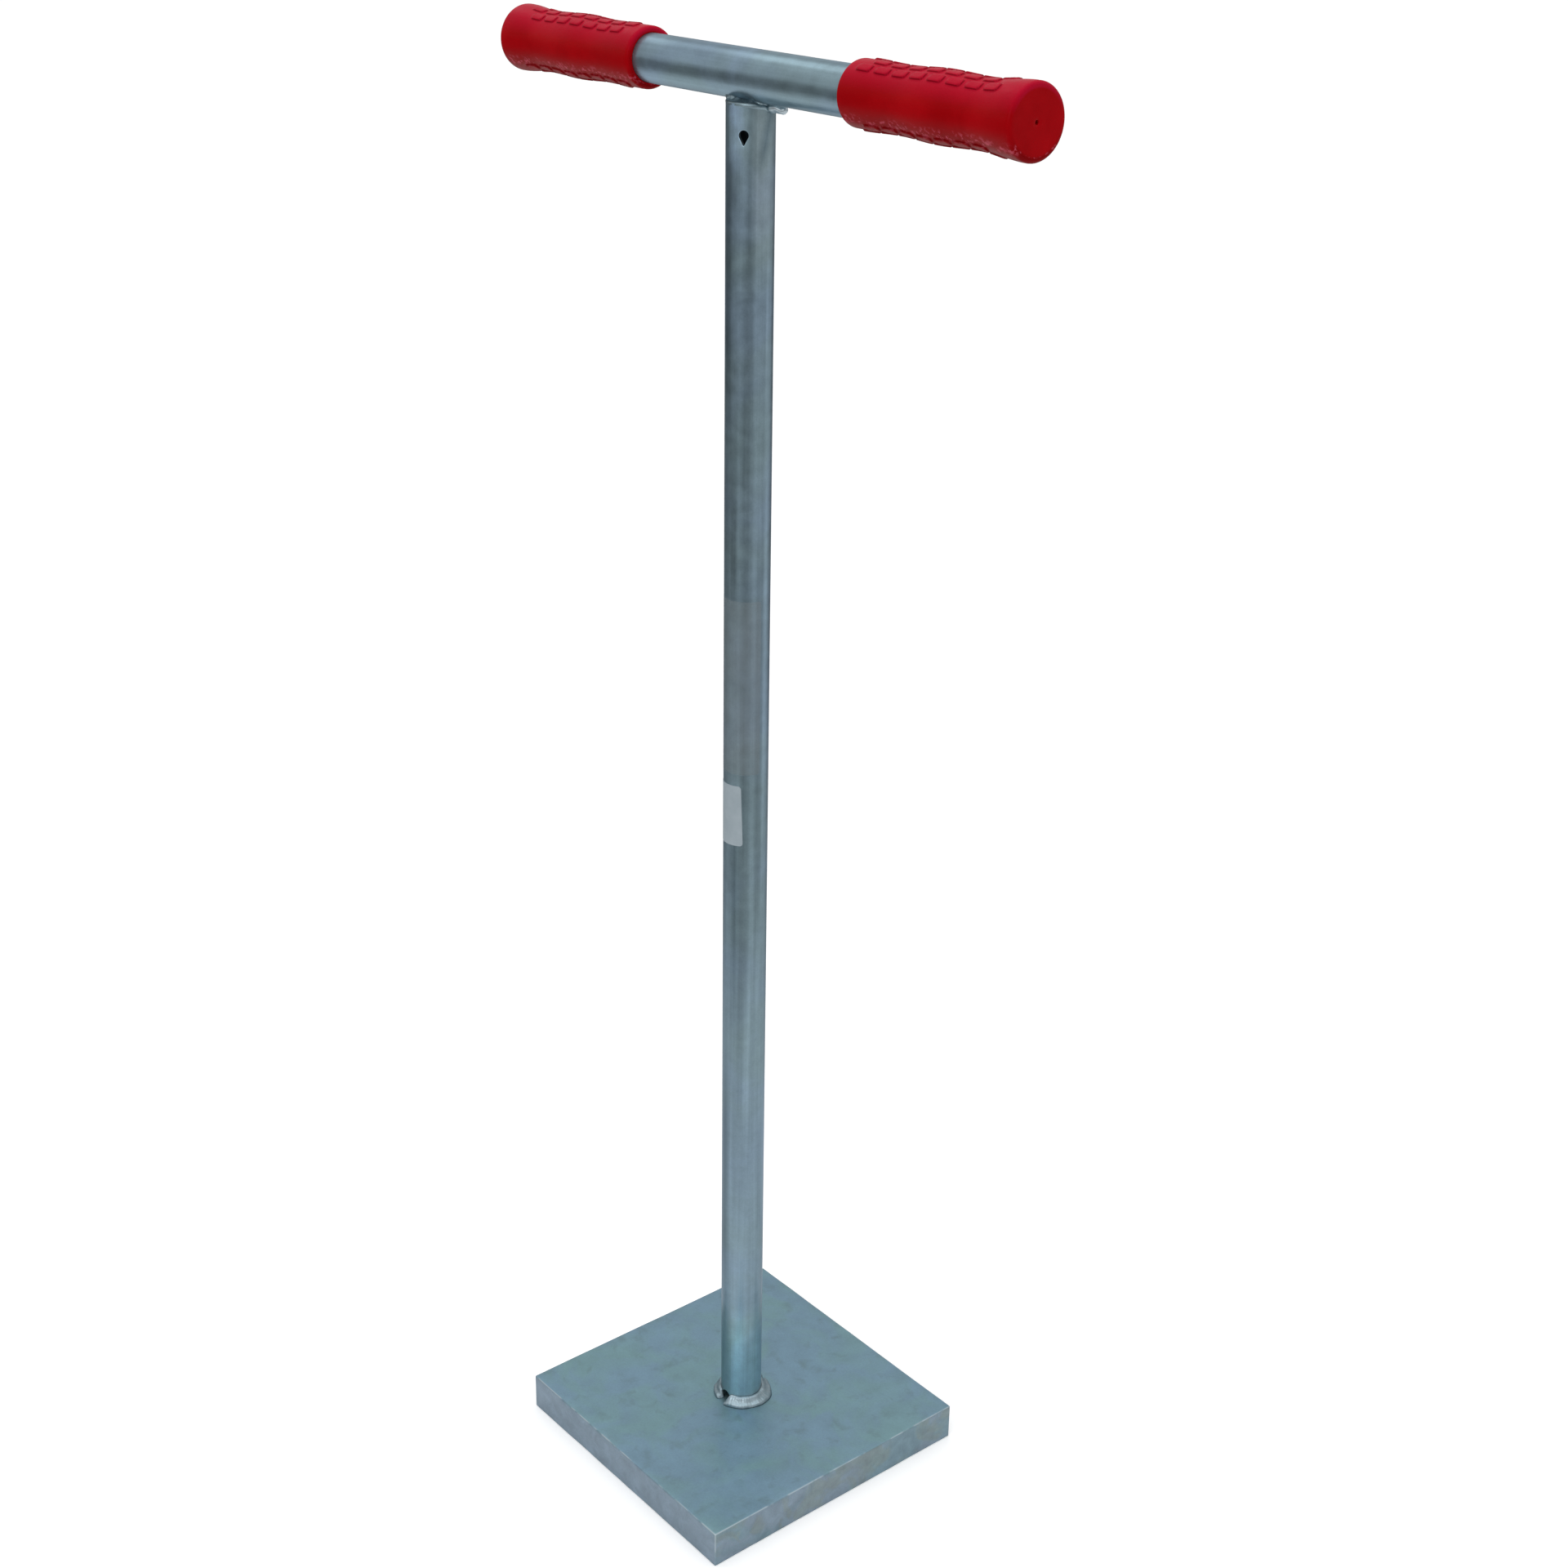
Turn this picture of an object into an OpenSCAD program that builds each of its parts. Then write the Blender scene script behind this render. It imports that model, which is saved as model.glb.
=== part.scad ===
// Hand tamper: a thick square sole plate, an upright tube and a T handle with
// two moulded grips, all welded together and zinc coated.
// Millimetres. The origin is the centre of the sole's underside and +Z is up.
// The crossbar runs along X and the front of the tool is -Y.
// Turns around the shaft are degrees from the front towards +X.

/* [Sole plate] */
// Side of the square sole plate
plate_side = 200; // [150:5:300]
// Thickness of the sole plate
plate_t = 25; // [10:1:40]
// Chamfer along every edge of the sole plate
plate_chamfer = 1; // [0.5:0.1:3]

/* [Shaft] */
// Outer diameter of the upright tube
shaft_d = 26.9; // [21.3:0.1:33.7]
// Wall of the upright tube
shaft_wall = 2.6; // [2:0.1:4]
// Height of the crossbar's axis above the ground
handle_h = 882; // [600:1:1200]
// Drop of the trimmed ears of the coped end below the crossbar's axis
ear_drop = 12.5; // [3:0.5:13]
// Gap between the coped end and the crossbar
cope_gap = 0.1; // [0.05:0.05:0.5]

/* [Drain hole] */
// Diameter of the round top of the drop-shaped drain hole
drain_d = 5.4; // [3:0.2:9]
// Drop of the middle of its round top below the crossbar's axis
drain_drop = 29.7; // [24:0.1:80]
// Length from there down to its point
drain_point = 5.6; // [5:0.1:12]
// Turn of the drain hole around the shaft
drain_angle = 35; // [-180:5:180]

/* [Drain notch] */
// Width of the arched drain notch in the foot of the shaft
notch_w = 7.6; // [4:0.1:12]
// Height of the drain notch
notch_h = 7; // [6.5:0.5:15]
// Turn of the drain notch around the shaft
notch_angle = 1; // [-90:1:90]

/* [Crossbar] */
// Outer diameter of the crossbar tube
crossbar_d = 26.9; // [21.3:0.1:33.7]
// Wall of the crossbar tube
crossbar_wall = 2.6; // [2:0.1:4]
// Length of the crossbar tube
crossbar_len = 414; // [340:1:600]

/* [Grips] */
// Length of one grip
grip_len = 125; // [100:1:160]
// Thickness of the closed outer end of a grip
grip_end_wall = 6; // [3:0.5:10]
// Gap between the bore of a grip and the crossbar
grip_fit = 0.15; // [0.05:0.05:0.4]
// Thickness of the collar at the inner end, over the crossbar
collar_t = 3.65; // [2.5:0.05:8]
// Thickness of the waist beside the collar, over the crossbar
waist_t = 2.85; // [2:0.05:7]
// Thickness of the palm swell in the middle, over the crossbar
swell_t = 3.95; // [2.5:0.05:8]
// Thickness of the neck beside the flared end, over the crossbar
neck_t = 3.05; // [2:0.05:7]
// Thickness of the flared outer end, over the crossbar
flare_t = 5.5; // [3:0.05:9]
// Length of the straight collar
collar_len = 8; // [4:0.5:12]
// Length of the straight rim of the flared end
flare_len = 3; // [2.5:0.5:8]
// Rounding of both end edges of a grip
grip_round = 2; // [0.5:0.1:2.4]
// Diameter of the air hole in the closed end
air_hole_d = 2.2; // [1:0.1:4]

/* [Grip pads] */
// Length of one raised pad along the grip
pad_len = 10; // [6:0.5:14]
// Width of one raised pad around the grip
pad_w = 5; // [3:0.1:6]
// Height of a raised pad above the grip
pad_h = 0.8; // [0.3:0.1:1.2]
// Gap between two pads of a row
pad_gap = 2.9; // [1.5:0.1:5]
// Bare length before the first pad, from the inner end
pad_start = 8.5; // [4:0.5:20]
// Bare length after the last pad, from the outer end
pad_stop = 16; // [8:0.5:30]
// Rows of pads in each of the two bands
pad_rows = 4; // [2:1:5]
// Turn from one row of pads to the next
pad_row_angle = 22.5; // [20:0.5:30]

/* [Welds] */
// Reach of the foot weld over the plate
foot_weld_reach = 6.5; // [3:0.5:9]
// Rise of the foot weld up the shaft
foot_weld_rise = 6; // [3:0.5:9]
// Space between the drain notch and the ends of the foot weld
foot_weld_clear = 0.3; // [0.1:0.1:3]
// Space between the two runs of the foot weld, opposite the notch
foot_weld_space = 0.2; // [0.1:0.1:3]
// Drop of the crossbar weld's toe below the underside of the crossbar
top_weld_toe = 4; // [2:0.5:8]
// Rise of the crossbar weld above the trimmed ears
top_weld_cap = 4; // [1:0.5:5]
// Lean of the crossbar weld towards the crossbar over that rise
top_weld_lean = 3; // [1:0.5:6]
// Bulge of the crossbar weld out of the shaft
top_weld_bulge = 1.4; // [0.8:0.1:4]
// Turn of the tail that the crossbar weld leaves
tail_angle = 112; // [110:1:130]
// Reach of the tail out of the shaft
tail_reach = 10; // [5:0.5:16]
// Diameter of the tail
tail_d = 6; // [4:0.5:8]
// Drop of the tail's middle below the underside of the crossbar
tail_sag = 1; // [0:0.1:2]
// Gap between the welds and the round faces they sit on
weld_seat = 0.05; // [0.05:0.05:0.2]

/* [Labels] */
// Drop of the film label's top edge below the crossbar's axis
film_drop = 290; // [100:1:350]
// Height of the film label
film_h = 108; // [40:1:140]
// Width of the film label around the shaft
film_w = 47; // [20:1:60]
// Turn of the film label's right-hand edge
film_angle = 88; // [0:1:180]
// Space between the film label and the white label below it
label_space = 8; // [2:1:40]
// Height of the white label
white_h = 39; // [20:1:80]
// Width of the white label around the shaft
white_w = 30; // [15:1:60]
// Turn of the white label's right-hand edge
white_angle = 42; // [0:1:180]
// Thickness of both labels
label_t = 0.2; // [0.1:0.05:0.4]
// Glue line under both labels
label_glue = 0.05; // [0.05:0.05:0.2]

/* [Hidden] */
$fn = 96;

zinc = [0.56, 0.61, 0.64];
bright_zinc = [0.72, 0.76, 0.78];
red = [0.72, 0.05, 0.08];
film = [0.66, 0.72, 0.74];
white = [0.90, 0.92, 0.93];

// Cutting tools run this far past the faces they cut
over = 1;
shaft_r = shaft_d / 2;
crossbar_r = crossbar_d / 2;
ear_top = handle_h - ear_drop;

// Straight steps in each curved stretch of an outline
curve_steps = 4;
bead_steps = 8;
drain_steps = 24;

// Stations of the grip's outline: radius, and distance from the inner end
collar_r = crossbar_r + collar_t;
flare_r = crossbar_r + flare_t;
swell_at = grip_len / 2;
rim_at = grip_len - flare_len;
grip_stations = [
    [collar_r, collar_len],
    [crossbar_r + waist_t, (collar_len + swell_at) / 2],
    [crossbar_r + swell_t, swell_at],
    [crossbar_r + neck_t, (swell_at + rim_at) / 2],
    [flare_r, rim_at]
];
grip_outer_end = crossbar_len / 2 + grip_end_wall;
grip_bore_d = crossbar_d + 2 * grip_fit;
pad_pitch = pad_len + pad_gap;
pad_count = floor((grip_len - pad_start - pad_stop + pad_gap) / pad_pitch);

// Turns from the notch to the foot weld, and from its back end to the middle of the back
foot_weld_start = wrap(notch_w / 2 + foot_weld_clear);
foot_weld_end = wrap(foot_weld_space / 2);

// Top, shoulder and bottom of the crossbar weld
top_weld_z1 = ear_top + top_weld_cap;
top_weld_shoulder = ear_top + top_weld_bulge;
top_weld_z0 = handle_h - crossbar_r - top_weld_toe;

film_z1 = handle_h - film_drop;
film_z0 = film_z1 - film_h;
white_z1 = film_z0 - label_space;
white_z0 = white_z1 - white_h;

function ease(u) = (1 - cos(180 * u)) / 2;
function mix(a, b, u) = a + (b - a) * u;

// Turn around the shaft as an angle from +X
function heading(turn) = turn - 90;

// Angle that a width covers on the shaft
function wrap(width) = width / shaft_r * 180 / PI;

// Outline of the grip between its rounded ends, as [radius, distance] pairs
function eased_stretch(a, b) = [
    for (i = [0 : curve_steps - 1])
        let (u = i / curve_steps)
        [mix(a[0], b[0], ease(u)), mix(a[1], b[1], u)]
];
function rounded_end(r, at, from) = [
    for (i = [0 : curve_steps])
        let (a = from + 90 * i / curve_steps)
        [r - grip_round + grip_round * cos(a), at + grip_round * sin(a)]
];
function grip_outline() = concat(
    [[0, 0]],
    rounded_end(collar_r, grip_round, -90),
    [for (i = [0 : len(grip_stations) - 2])
        each eased_stretch(grip_stations[i], grip_stations[i + 1])],
    [[flare_r, rim_at]],
    rounded_end(flare_r, grip_len - grip_round, 0),
    [[0, grip_len]]
);

// A box with every edge chamfered, standing on its base
module chamfered_plate(side, height, cut) {
    module slab(w, h, depth) {
        linear_extrude(depth, center = true)
            polygon([
                [-w / 2 + cut, -h / 2], [w / 2 - cut, -h / 2], [w / 2, -h / 2 + cut],
                [w / 2, h / 2 - cut], [w / 2 - cut, h / 2], [-w / 2 + cut, h / 2],
                [-w / 2, h / 2 - cut], [-w / 2, -h / 2 + cut]
            ]);
    }
    translate([0, 0, height / 2])
        intersection() {
            slab(side, side, height);
            rotate([90, 0, 0]) slab(side, height, side);
            rotate([90, 0, 90]) slab(side, height, side);
        }
}

// A round bar along X on the crossbar's axis
module crossbar_rod(d, length) {
    translate([0, 0, handle_h])
        rotate([0, 90, 0])
            cylinder(d = d, h = length, center = true);
}

// The shaft as a full bar, from the plate to the tips of its ears
module shaft_bar(d) {
    translate([0, 0, plate_t]) cylinder(d = d, h = ear_top - plate_t);
}

// The drop-shaped hole through one wall that lets the zinc drain
module drain_hole() {
    drain_r = drain_d / 2;
    touch = acos(drain_r / drain_point);
    translate([0, 0, handle_h - drain_drop])
        rotate([0, 0, heading(drain_angle)])
            rotate([0, 90, 0])
                linear_extrude(shaft_d)
                    polygon(concat(
                        [[drain_point, 0]],
                        [for (i = [0 : drain_steps])
                            let (a = mix(touch, 360 - touch, i / drain_steps))
                            [drain_r * cos(a), drain_r * sin(a)]]
                    ));
}

// The arched notch through one wall at the foot of the shaft
module drain_notch() {
    notch_r = notch_w / 2;
    translate([0, 0, plate_t])
        rotate([0, 0, heading(notch_angle)])
            rotate([0, 90, 0])
                linear_extrude(shaft_d)
                    polygon(concat(
                        [[over, -notch_r], [over, notch_r]],
                        [for (i = [0 : drain_steps])
                            let (a = 90 + 180 * i / drain_steps)
                            [notch_r - notch_h + notch_r * cos(a), notch_r * sin(a)]]
                    ));
}

// One pad's block, from inside the grip to beyond its flare
module pad_block(along, turn) {
    rotate([0, 0, turn])
        translate([0, -pad_w / 2, along])
            cube([flare_r + pad_h, pad_w, pad_len]);
}

// Two bands of pads, above and below, with every second row shifted by half a pitch
module pad_blocks() {
    for (band = [0, 180], row = [0 : pad_rows - 1]) {
        shifted = row % 2 == 0;
        first = pad_start + (shifted ? pad_pitch / 2 : 0);
        count = pad_count - (shifted ? 1 : 0);
        turn = 180 + band + (row - (pad_rows - 1) / 2) * pad_row_angle;
        for (i = [0 : count - 1])
            pad_block(first + i * pad_pitch, turn);
    }
}

// The skin that the pads end at: the grip's outline, moved out by a pad's height
module pad_skin() {
    rotate_extrude()
        polygon([for (p = grip_outline()) [p[0] > 0 ? p[0] + pad_h : 0, p[1]]]);
}

// One grip with its axis along Z and its closed end up
module grip_body() {
    difference() {
        union() {
            rotate_extrude() polygon(grip_outline());
            intersection() {
                pad_skin();
                pad_blocks();
            }
        }
        translate([0, 0, -over])
            cylinder(d = grip_bore_d, h = grip_len - grip_end_wall + over);
        cylinder(d = air_hole_d, h = grip_len + over);
    }
}

// One grip on its end of the crossbar: 0 is the right-hand one, 180 the left
module grip(turn) {
    color(red)
        translate([0, 0, handle_h])
            rotate([0, 0, turn])
                translate([grip_outer_end - grip_len, 0, 0])
                    rotate([0, 90, 0])
                        grip_body();
}

// One run of the foot weld, over half the shaft from the given turn past the notch
module foot_weld(turn) {
    inner = shaft_r + weld_seat;
    color(bright_zinc)
        rotate([0, 0, heading(notch_angle + turn)])
            rotate_extrude(angle = 180 - foot_weld_start - foot_weld_end)
                polygon(concat(
                    [[inner, plate_t]],
                    [for (i = [0 : bead_steps])
                        let (a = 90 * i / bead_steps)
                        [mix(inner, shaft_r + foot_weld_reach, cos(a)),
                            plate_t + foot_weld_rise * sin(a)]]
                ));
}

// The run of the weld under the crossbar over the front half of the shaft: a bulge
// around the end of the shaft, and above it a fill that leans in to the crossbar
module top_weld_run() {
    difference() {
        rotate([0, 0, heading(-90)])
            rotate_extrude(angle = 180)
                polygon(concat(
                    [[0, top_weld_z1], [0, top_weld_z0]],
                    [for (i = [0 : bead_steps])
                        let (u = i / bead_steps)
                        [shaft_r + top_weld_bulge * sin(180 * u),
                            mix(top_weld_z0, top_weld_shoulder, u)]],
                    [[shaft_r - top_weld_lean, top_weld_z1]]
                ));
        welded_bars();
    }
}

// The round-ended tail that the rear run leaves in the corner under the crossbar
module top_weld_tail() {
    tail_r = tail_d / 2;
    difference() {
        translate([0, 0, handle_h - crossbar_r - tail_sag])
            rotate([0, 90, heading(tail_angle)])
                rotate_extrude()
                    polygon(concat(
                        [[0, 0], [tail_r, 0]],
                        [for (i = [0 : bead_steps])
                            let (a = 90 * i / bead_steps)
                            [tail_r * cos(a), shaft_r + tail_reach - tail_r + tail_r * sin(a)]]
                    ));
        welded_bars();
    }
}

// What the crossbar weld is cut by: both tubes as full bars
module welded_bars() {
    shaft_bar(shaft_d + 2 * weld_seat);
    crossbar_rod(crossbar_d + 2 * cope_gap, crossbar_len);
}

// A label that wraps round the shaft, with its right-hand edge at a turn
module wrapped_label(z0, height, width, turn) {
    rotate([0, 0, heading(turn) - wrap(width)])
        rotate_extrude(angle = wrap(width))
            translate([shaft_r + label_glue, z0])
                square([label_t, height]);
}

module base_plate() {
    color(zinc) chamfered_plate(plate_side, plate_t, plate_chamfer);
}

module shaft_tube() {
    color(zinc)
        difference() {
            shaft_bar(shaft_d);
            crossbar_rod(crossbar_d + 2 * cope_gap, shaft_d * 2);
            translate([0, 0, plate_t - over])
                cylinder(d = shaft_d - 2 * shaft_wall, h = handle_h - plate_t + over);
            drain_hole();
            drain_notch();
        }
}

module crossbar_tube() {
    color(zinc)
        difference() {
            crossbar_rod(crossbar_d, crossbar_len);
            crossbar_rod(crossbar_d - 2 * crossbar_wall, crossbar_len + 2 * over);
        }
}

module grip_left() {
    grip(180);
}

module grip_right() {
    grip(0);
}

module base_weld_left() {
    foot_weld(180 + foot_weld_end);
}

module base_weld_right() {
    foot_weld(foot_weld_start);
}

module crossbar_weld_front() {
    color(bright_zinc) top_weld_run();
}

module crossbar_weld_rear() {
    color(bright_zinc) {
        rotate([0, 0, 180]) top_weld_run();
        top_weld_tail();
    }
}

module film_label() {
    color(film) wrapped_label(film_z0, film_h, film_w, film_angle);
}

module white_label() {
    color(white) wrapped_label(white_z0, white_h, white_w, white_angle);
}

base_plate();
shaft_tube();
crossbar_tube();
grip_left();
grip_right();
base_weld_left();
base_weld_right();
crossbar_weld_front();
crossbar_weld_rear();
film_label();
white_label();
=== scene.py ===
"""Looks of the hand tamper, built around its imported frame, in metres.

The plate, the tubes, the grips, the weld beads and the labels are closed meshes that
stand for the plain solids, and each of them has a procedural finish.
Turns around the shaft are degrees from the front, -Y, towards +X.
"""

import math

import bmesh
import bpy
from mathutils import Matrix, Vector, noise


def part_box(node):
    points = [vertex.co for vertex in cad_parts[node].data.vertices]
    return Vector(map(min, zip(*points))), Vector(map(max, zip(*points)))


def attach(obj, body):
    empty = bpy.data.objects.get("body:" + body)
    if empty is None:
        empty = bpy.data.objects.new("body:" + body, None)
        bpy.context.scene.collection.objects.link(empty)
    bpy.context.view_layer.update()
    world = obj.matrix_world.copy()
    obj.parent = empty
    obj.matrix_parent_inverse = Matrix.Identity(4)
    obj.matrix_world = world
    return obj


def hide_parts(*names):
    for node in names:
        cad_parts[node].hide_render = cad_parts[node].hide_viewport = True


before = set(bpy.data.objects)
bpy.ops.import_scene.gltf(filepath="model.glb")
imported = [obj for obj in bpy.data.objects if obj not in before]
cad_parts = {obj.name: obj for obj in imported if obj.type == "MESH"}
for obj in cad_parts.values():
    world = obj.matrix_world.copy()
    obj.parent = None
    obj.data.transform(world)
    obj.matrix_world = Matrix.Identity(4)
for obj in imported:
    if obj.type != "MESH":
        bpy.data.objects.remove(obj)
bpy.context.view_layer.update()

MM = 0.001
BODY = "root"

# Places and sizes that the frame gives
plate_lo, plate_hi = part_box("base_plate")
plate_top = plate_hi.z
_, shaft_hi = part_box("shaft_tube")
shaft_r = shaft_hi.x
bar_lo, bar_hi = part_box("crossbar_tube")
bar_r = (bar_hi.z - bar_lo.z) / 2
bar_z = (bar_hi.z + bar_lo.z) / 2
grip_lo, grip_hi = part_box("grip_right")
grip_len = grip_hi.x - grip_lo.x
film_lo, film_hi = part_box("film_label")
white_lo, white_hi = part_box("white_label")

# Sole plate: rounding of its edges, how uneven its faces are, and its mesh
EDGE_ROUND = 1.2 * MM
EDGE_ROUND_SPREAD = 0.35
EDGE_STEPS = 4
PLATE_CELL = 4 * MM
PLATE_DENT = 0.16 * MM
DENT_SIZE = 45 * MM
UNDERSIDE = -0.5

# Angles between faces, in degrees, above which an edge is left sharp
PLATE_SHARP = 60
GRIP_SHARP = 60
BEAD_SHARP = 55
TUBE_SHARP = 50
MERGE_DISTANCE = 0.001 * MM

# Seeds of the noise that makes shapes uneven
EDGE_SEED = 3.0
DENT_SEED = 7.0
FOOT_REACH_SEED = 1.0
FOOT_RISE_SEED = 5.0
FOOT_LUMP_SEED = 8.0
BAR_BEAD_SEED = 2.0
TAIL_SEED = 4.0

# Tubes
TUBE_WALL = 2.6 * MM
TUBE_COLUMNS = 96
TUBE_ROW = 12 * MM
COPE_GAP = 0.1 * MM
COPE_COVER = 1.2 * MM

# Drop-shaped drain hole near the top of the shaft, and the drain notch in its foot
DRAIN_R = 2.7 * MM
DRAIN_POINT = 5.6 * MM
DRAIN_TIP = 5.3 * MM
DRAIN_DROP = 29.7 * MM
DRAIN_TURN = 35
DRAIN_RIM = 0.45 * MM
DRAIN_RIM_STEPS = 5
NOTCH_W = 7.6 * MM
NOTCH_H = 7 * MM
NOTCH_TURN = 1
NOTCH_STEPS = 24
WINDOW_COLUMNS = 6
WINDOW_ROWS = 14
WINDOW_BELOW = 10 * MM
WINDOW_ABOVE = 7 * MM
PATCH_STEPS = 4

# Grips: thickness over the crossbar at the stations of the outline
COLLAR_T = 3.65 * MM
WAIST_T = 2.85 * MM
SWELL_T = 3.95 * MM
NECK_T = 3.05 * MM
FLARE_T = 5.48 * MM
COLLAR_LEN = 8 * MM
FLARE_LEN = 3 * MM
GRIP_ROUND = 2.2 * MM
GRIP_ROUND_STEPS = 7
GRIP_FIT = 0.15 * MM
GRIP_END_WALL = 6 * MM
GRIP_DISH = 0.35 * MM
AIR_HOLE_R = 1.1 * MM
AIR_HOLE_ROUND = 0.5 * MM
AIR_HOLE_BEND = (0.35, 0.3)
GRIP_FACE_RINGS = 8

# Raised pads on the grips
PAD_LEN = 10 * MM
PAD_W = 5 * MM
PAD_H = 0.8 * MM
PAD_GAP = 2.9 * MM
PAD_START = 8.5 * MM
PAD_COUNT = 8
PAD_ROWS = 4
PAD_ROW_TURN = 22.5
PAD_CORNER = 1.4 * MM
PAD_RAMP = 0.35 * MM
PAD_RAMP_LINES = (-1.1, -0.5, 0.0, 0.5, 1.1)
PAD_MEAN_R = 17 * MM
GRIP_CELL = 1.8 * MM
GRIP_CELL_TURN = 4.0
MOST_LINES_IN_CELL = 12

# Weld beads, with the share of a bead that is cut off at each end
BEAD_SINK = 0.3 * MM
BEAD_STEP = 0.35 * MM
BEAD_POINTS = 12
BEAD_CUT = 0.004
FOOT_REACH = 6.2 * MM
FOOT_REACH_SWAY = 1.2 * MM
FOOT_WIDE_TURN = 140
FOOT_RISE = 5.8 * MM
FOOT_LAP = 2.2 * MM
FOOT_TAPER = 2 * MM
FOOT_CLIMB = 6 * MM
FOOT_CLIMB_START = 0.25
# Turns from the notch where the foot beads go from painted light to painted shade, and over how many
# degrees
FOOT_SHADE_RIGHT = 70
FOOT_SHADE_LEFT = -12
FOOT_SHADE_SPAN = 30
FOOT_RIPPLE = 0.14 * MM
FOOT_WAVER = 1.0 * MM
FOOT_REACH_WAVE = 8 * MM
FOOT_RISE_WAVE = 7 * MM
FOOT_LUMP = 0.5 * MM
FOOT_LUMP_SIZE = 4 * MM
FOOT_ROLL = 0.8 * MM
FOOT_ROLL_SPAN = 0.15
FOOT_ROLLS = ((0.2, 1.0), (0.8, 0.7))
FOOT_EDGE_FADE = 0.12
FOOT_SWELL = 0.35 * MM
RIPPLE_PITCH = 1.9 * MM
RIPPLE_BEND = 0.35
RIPPLE_MEAN = 0.6
BAR_BEAD_SINK = 0.12 * MM
BAR_BEAD_ROOT = 1.2 * MM
BAR_BEAD_SAG = 0.16
BAR_BEAD_LOW_POINTS = 9
BAR_BEAD_HIGH_POINTS = 12
BAR_BEAD_WAVER = 0.12 * MM
BAR_BEAD_LUMP = 0.45 * MM
BAR_BEAD_LUMP_SIZE = 3 * MM
BAR_BEAD_LUMP_TURN = 88
BAR_BEAD_LUMP_SPAN = 26
# Where its crease closes and its belly counts as rolled, and how its lines of painted shade fade
CREASE_SHUT = 0.5 * MM
CREASE_OPENING = 0.7 * MM
ROLLED_BELLY = 0.4 * MM
TOE_DARK = 0.8
TOE_FADE = 5
CREASE_FADE_BELOW = 4
CREASE_FADE_ABOVE = 2.5
# Its section by turn, in millimetres: drop of its toe on the shaft, drop and reach of the
# crease above it, reach of its edge on the crossbar, and belly between toe and crease
BAR_BEAD = (
    (-90, 17.8, 14.6, 1.6, 6.0, -0.3),
    (-72, 17.6, 14.3, 1.3, 5.0, -0.3),
    (-58, 17.2, 13.8, 0.7, 1.2, -0.2),
    (-42, 16.6, 13.3, 0.2, -2.8, -0.05),
    (-25, 15.8, 13.0, -0.1, -5.2, 0.1),
    (0, 15.2, 12.9, -0.25, -6.8, 0.2),
    (20, 15.0, 12.9, -0.35, -7.0, 0.3),
    (39, 15.3, 13.0, -0.35, -6.0, 0.4),
    (58, 16.0, 13.1, -0.3, -2.5, 0.5),
    (77, 16.8, 14.0, 0.2, 1.2, 0.6),
    (101, 18.3, 14.8, 0.5, 1.6, 0.5),
    (120, 18.6, 14.4, 1.0, 2.0, 0.0),
    (140, 16.6, 13.3, 0.2, -2.8, -0.05),
    (180, 15.2, 12.9, -0.25, -6.8, 0.2),
)
# Behind the left-hand side it is the same as in front
BAR_BEAD += tuple((180 - turn, *section) for turn, *section in reversed(BAR_BEAD[:4]))

# The tail that the rear run leaves under the crossbar
TAIL_FROM_TURN = 99
TAIL_FROM_DROP = 15.6 * MM
TAIL_TIP = Vector((23.2 * MM, 6.2 * MM, -16.3 * MM))
TAIL_ROOT_R = 2.9 * MM
TAIL_TIP_R = 2.2 * MM
TAIL_POINTS = 24
TAIL_STEPS = 18
TAIL_WAVER = 0.7 * MM
TAIL_WAVER_SIZE = 3 * MM

# Labels: the turn of the right-hand edge, the width around the shaft and the tilt
FILM_TURN = 88
FILM_W = 47 * MM
FILM_TILT = 0.0
WHITE_TURN = 42
WHITE_W = 30 * MM
WHITE_TILT = 1.9
LABEL_T = 0.12 * MM
LABEL_SINK = 0.01 * MM
LABEL_CORNER = 2 * MM
LABEL_COLUMNS = 40
LABEL_ROWS = 12

# Camera, as it stood for the photograph. Its place is right, up and back from its aim
AIM = Vector((0, 0, 0.46))
CAMERA_TURN = 50.224
CAMERA_PITCH = 23.713
CAMERA_ROLL = 0.848
CAMERA_PLACE = Vector((0.0231, 0.0115, 1.4052))
CAMERA_LENS = 53.694
CAMERA_SENSOR = 36.0


# Shaping helpers

def mix(a, b, u):
    return a + (b - a) * u


def ease(u):
    return (1 - math.cos(math.pi * u)) / 2


def smooth_step(u):
    u = min(max(u, 0.0), 1.0)
    return u * u * (3 - 2 * u)


def bell(value, middle, span):
    return math.exp(-((value - middle) / span) ** 2)


def around(radius, turn, z):
    """A point at a turn around the shaft."""
    a = math.radians(turn)
    return Vector((radius * math.sin(a), -radius * math.cos(a), z))


def waver(point, size, seed=0.0):
    """Smooth noise from about -1 to 1, with features of one size."""
    return noise.noise(point / size + Vector((seed, seed * 1.7, seed * 0.6)))


def bridge(bm, ring_a, ring_b, closed=True):
    """Quads between two rings that have the same number of points."""
    count = len(ring_a)
    for i in range(count if closed else count - 1):
        j = (i + 1) % count
        bm.faces.new((ring_a[i], ring_a[j], ring_b[j], ring_b[i]))


def skin(bm, rings, looped=False, capped=False):
    """A surface through closed rings of points, looped back to the first ring or capped."""
    rows = [[bm.verts.new(p) for p in ring] for ring in rings]
    for a, b in zip(rows, rows[1:]):
        bridge(bm, a, b)
    if looped:
        bridge(bm, rows[-1], rows[0])
    if capped:
        bm.faces.new(rows[0])
        bm.faces.new(rows[-1])
    return rows


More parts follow.
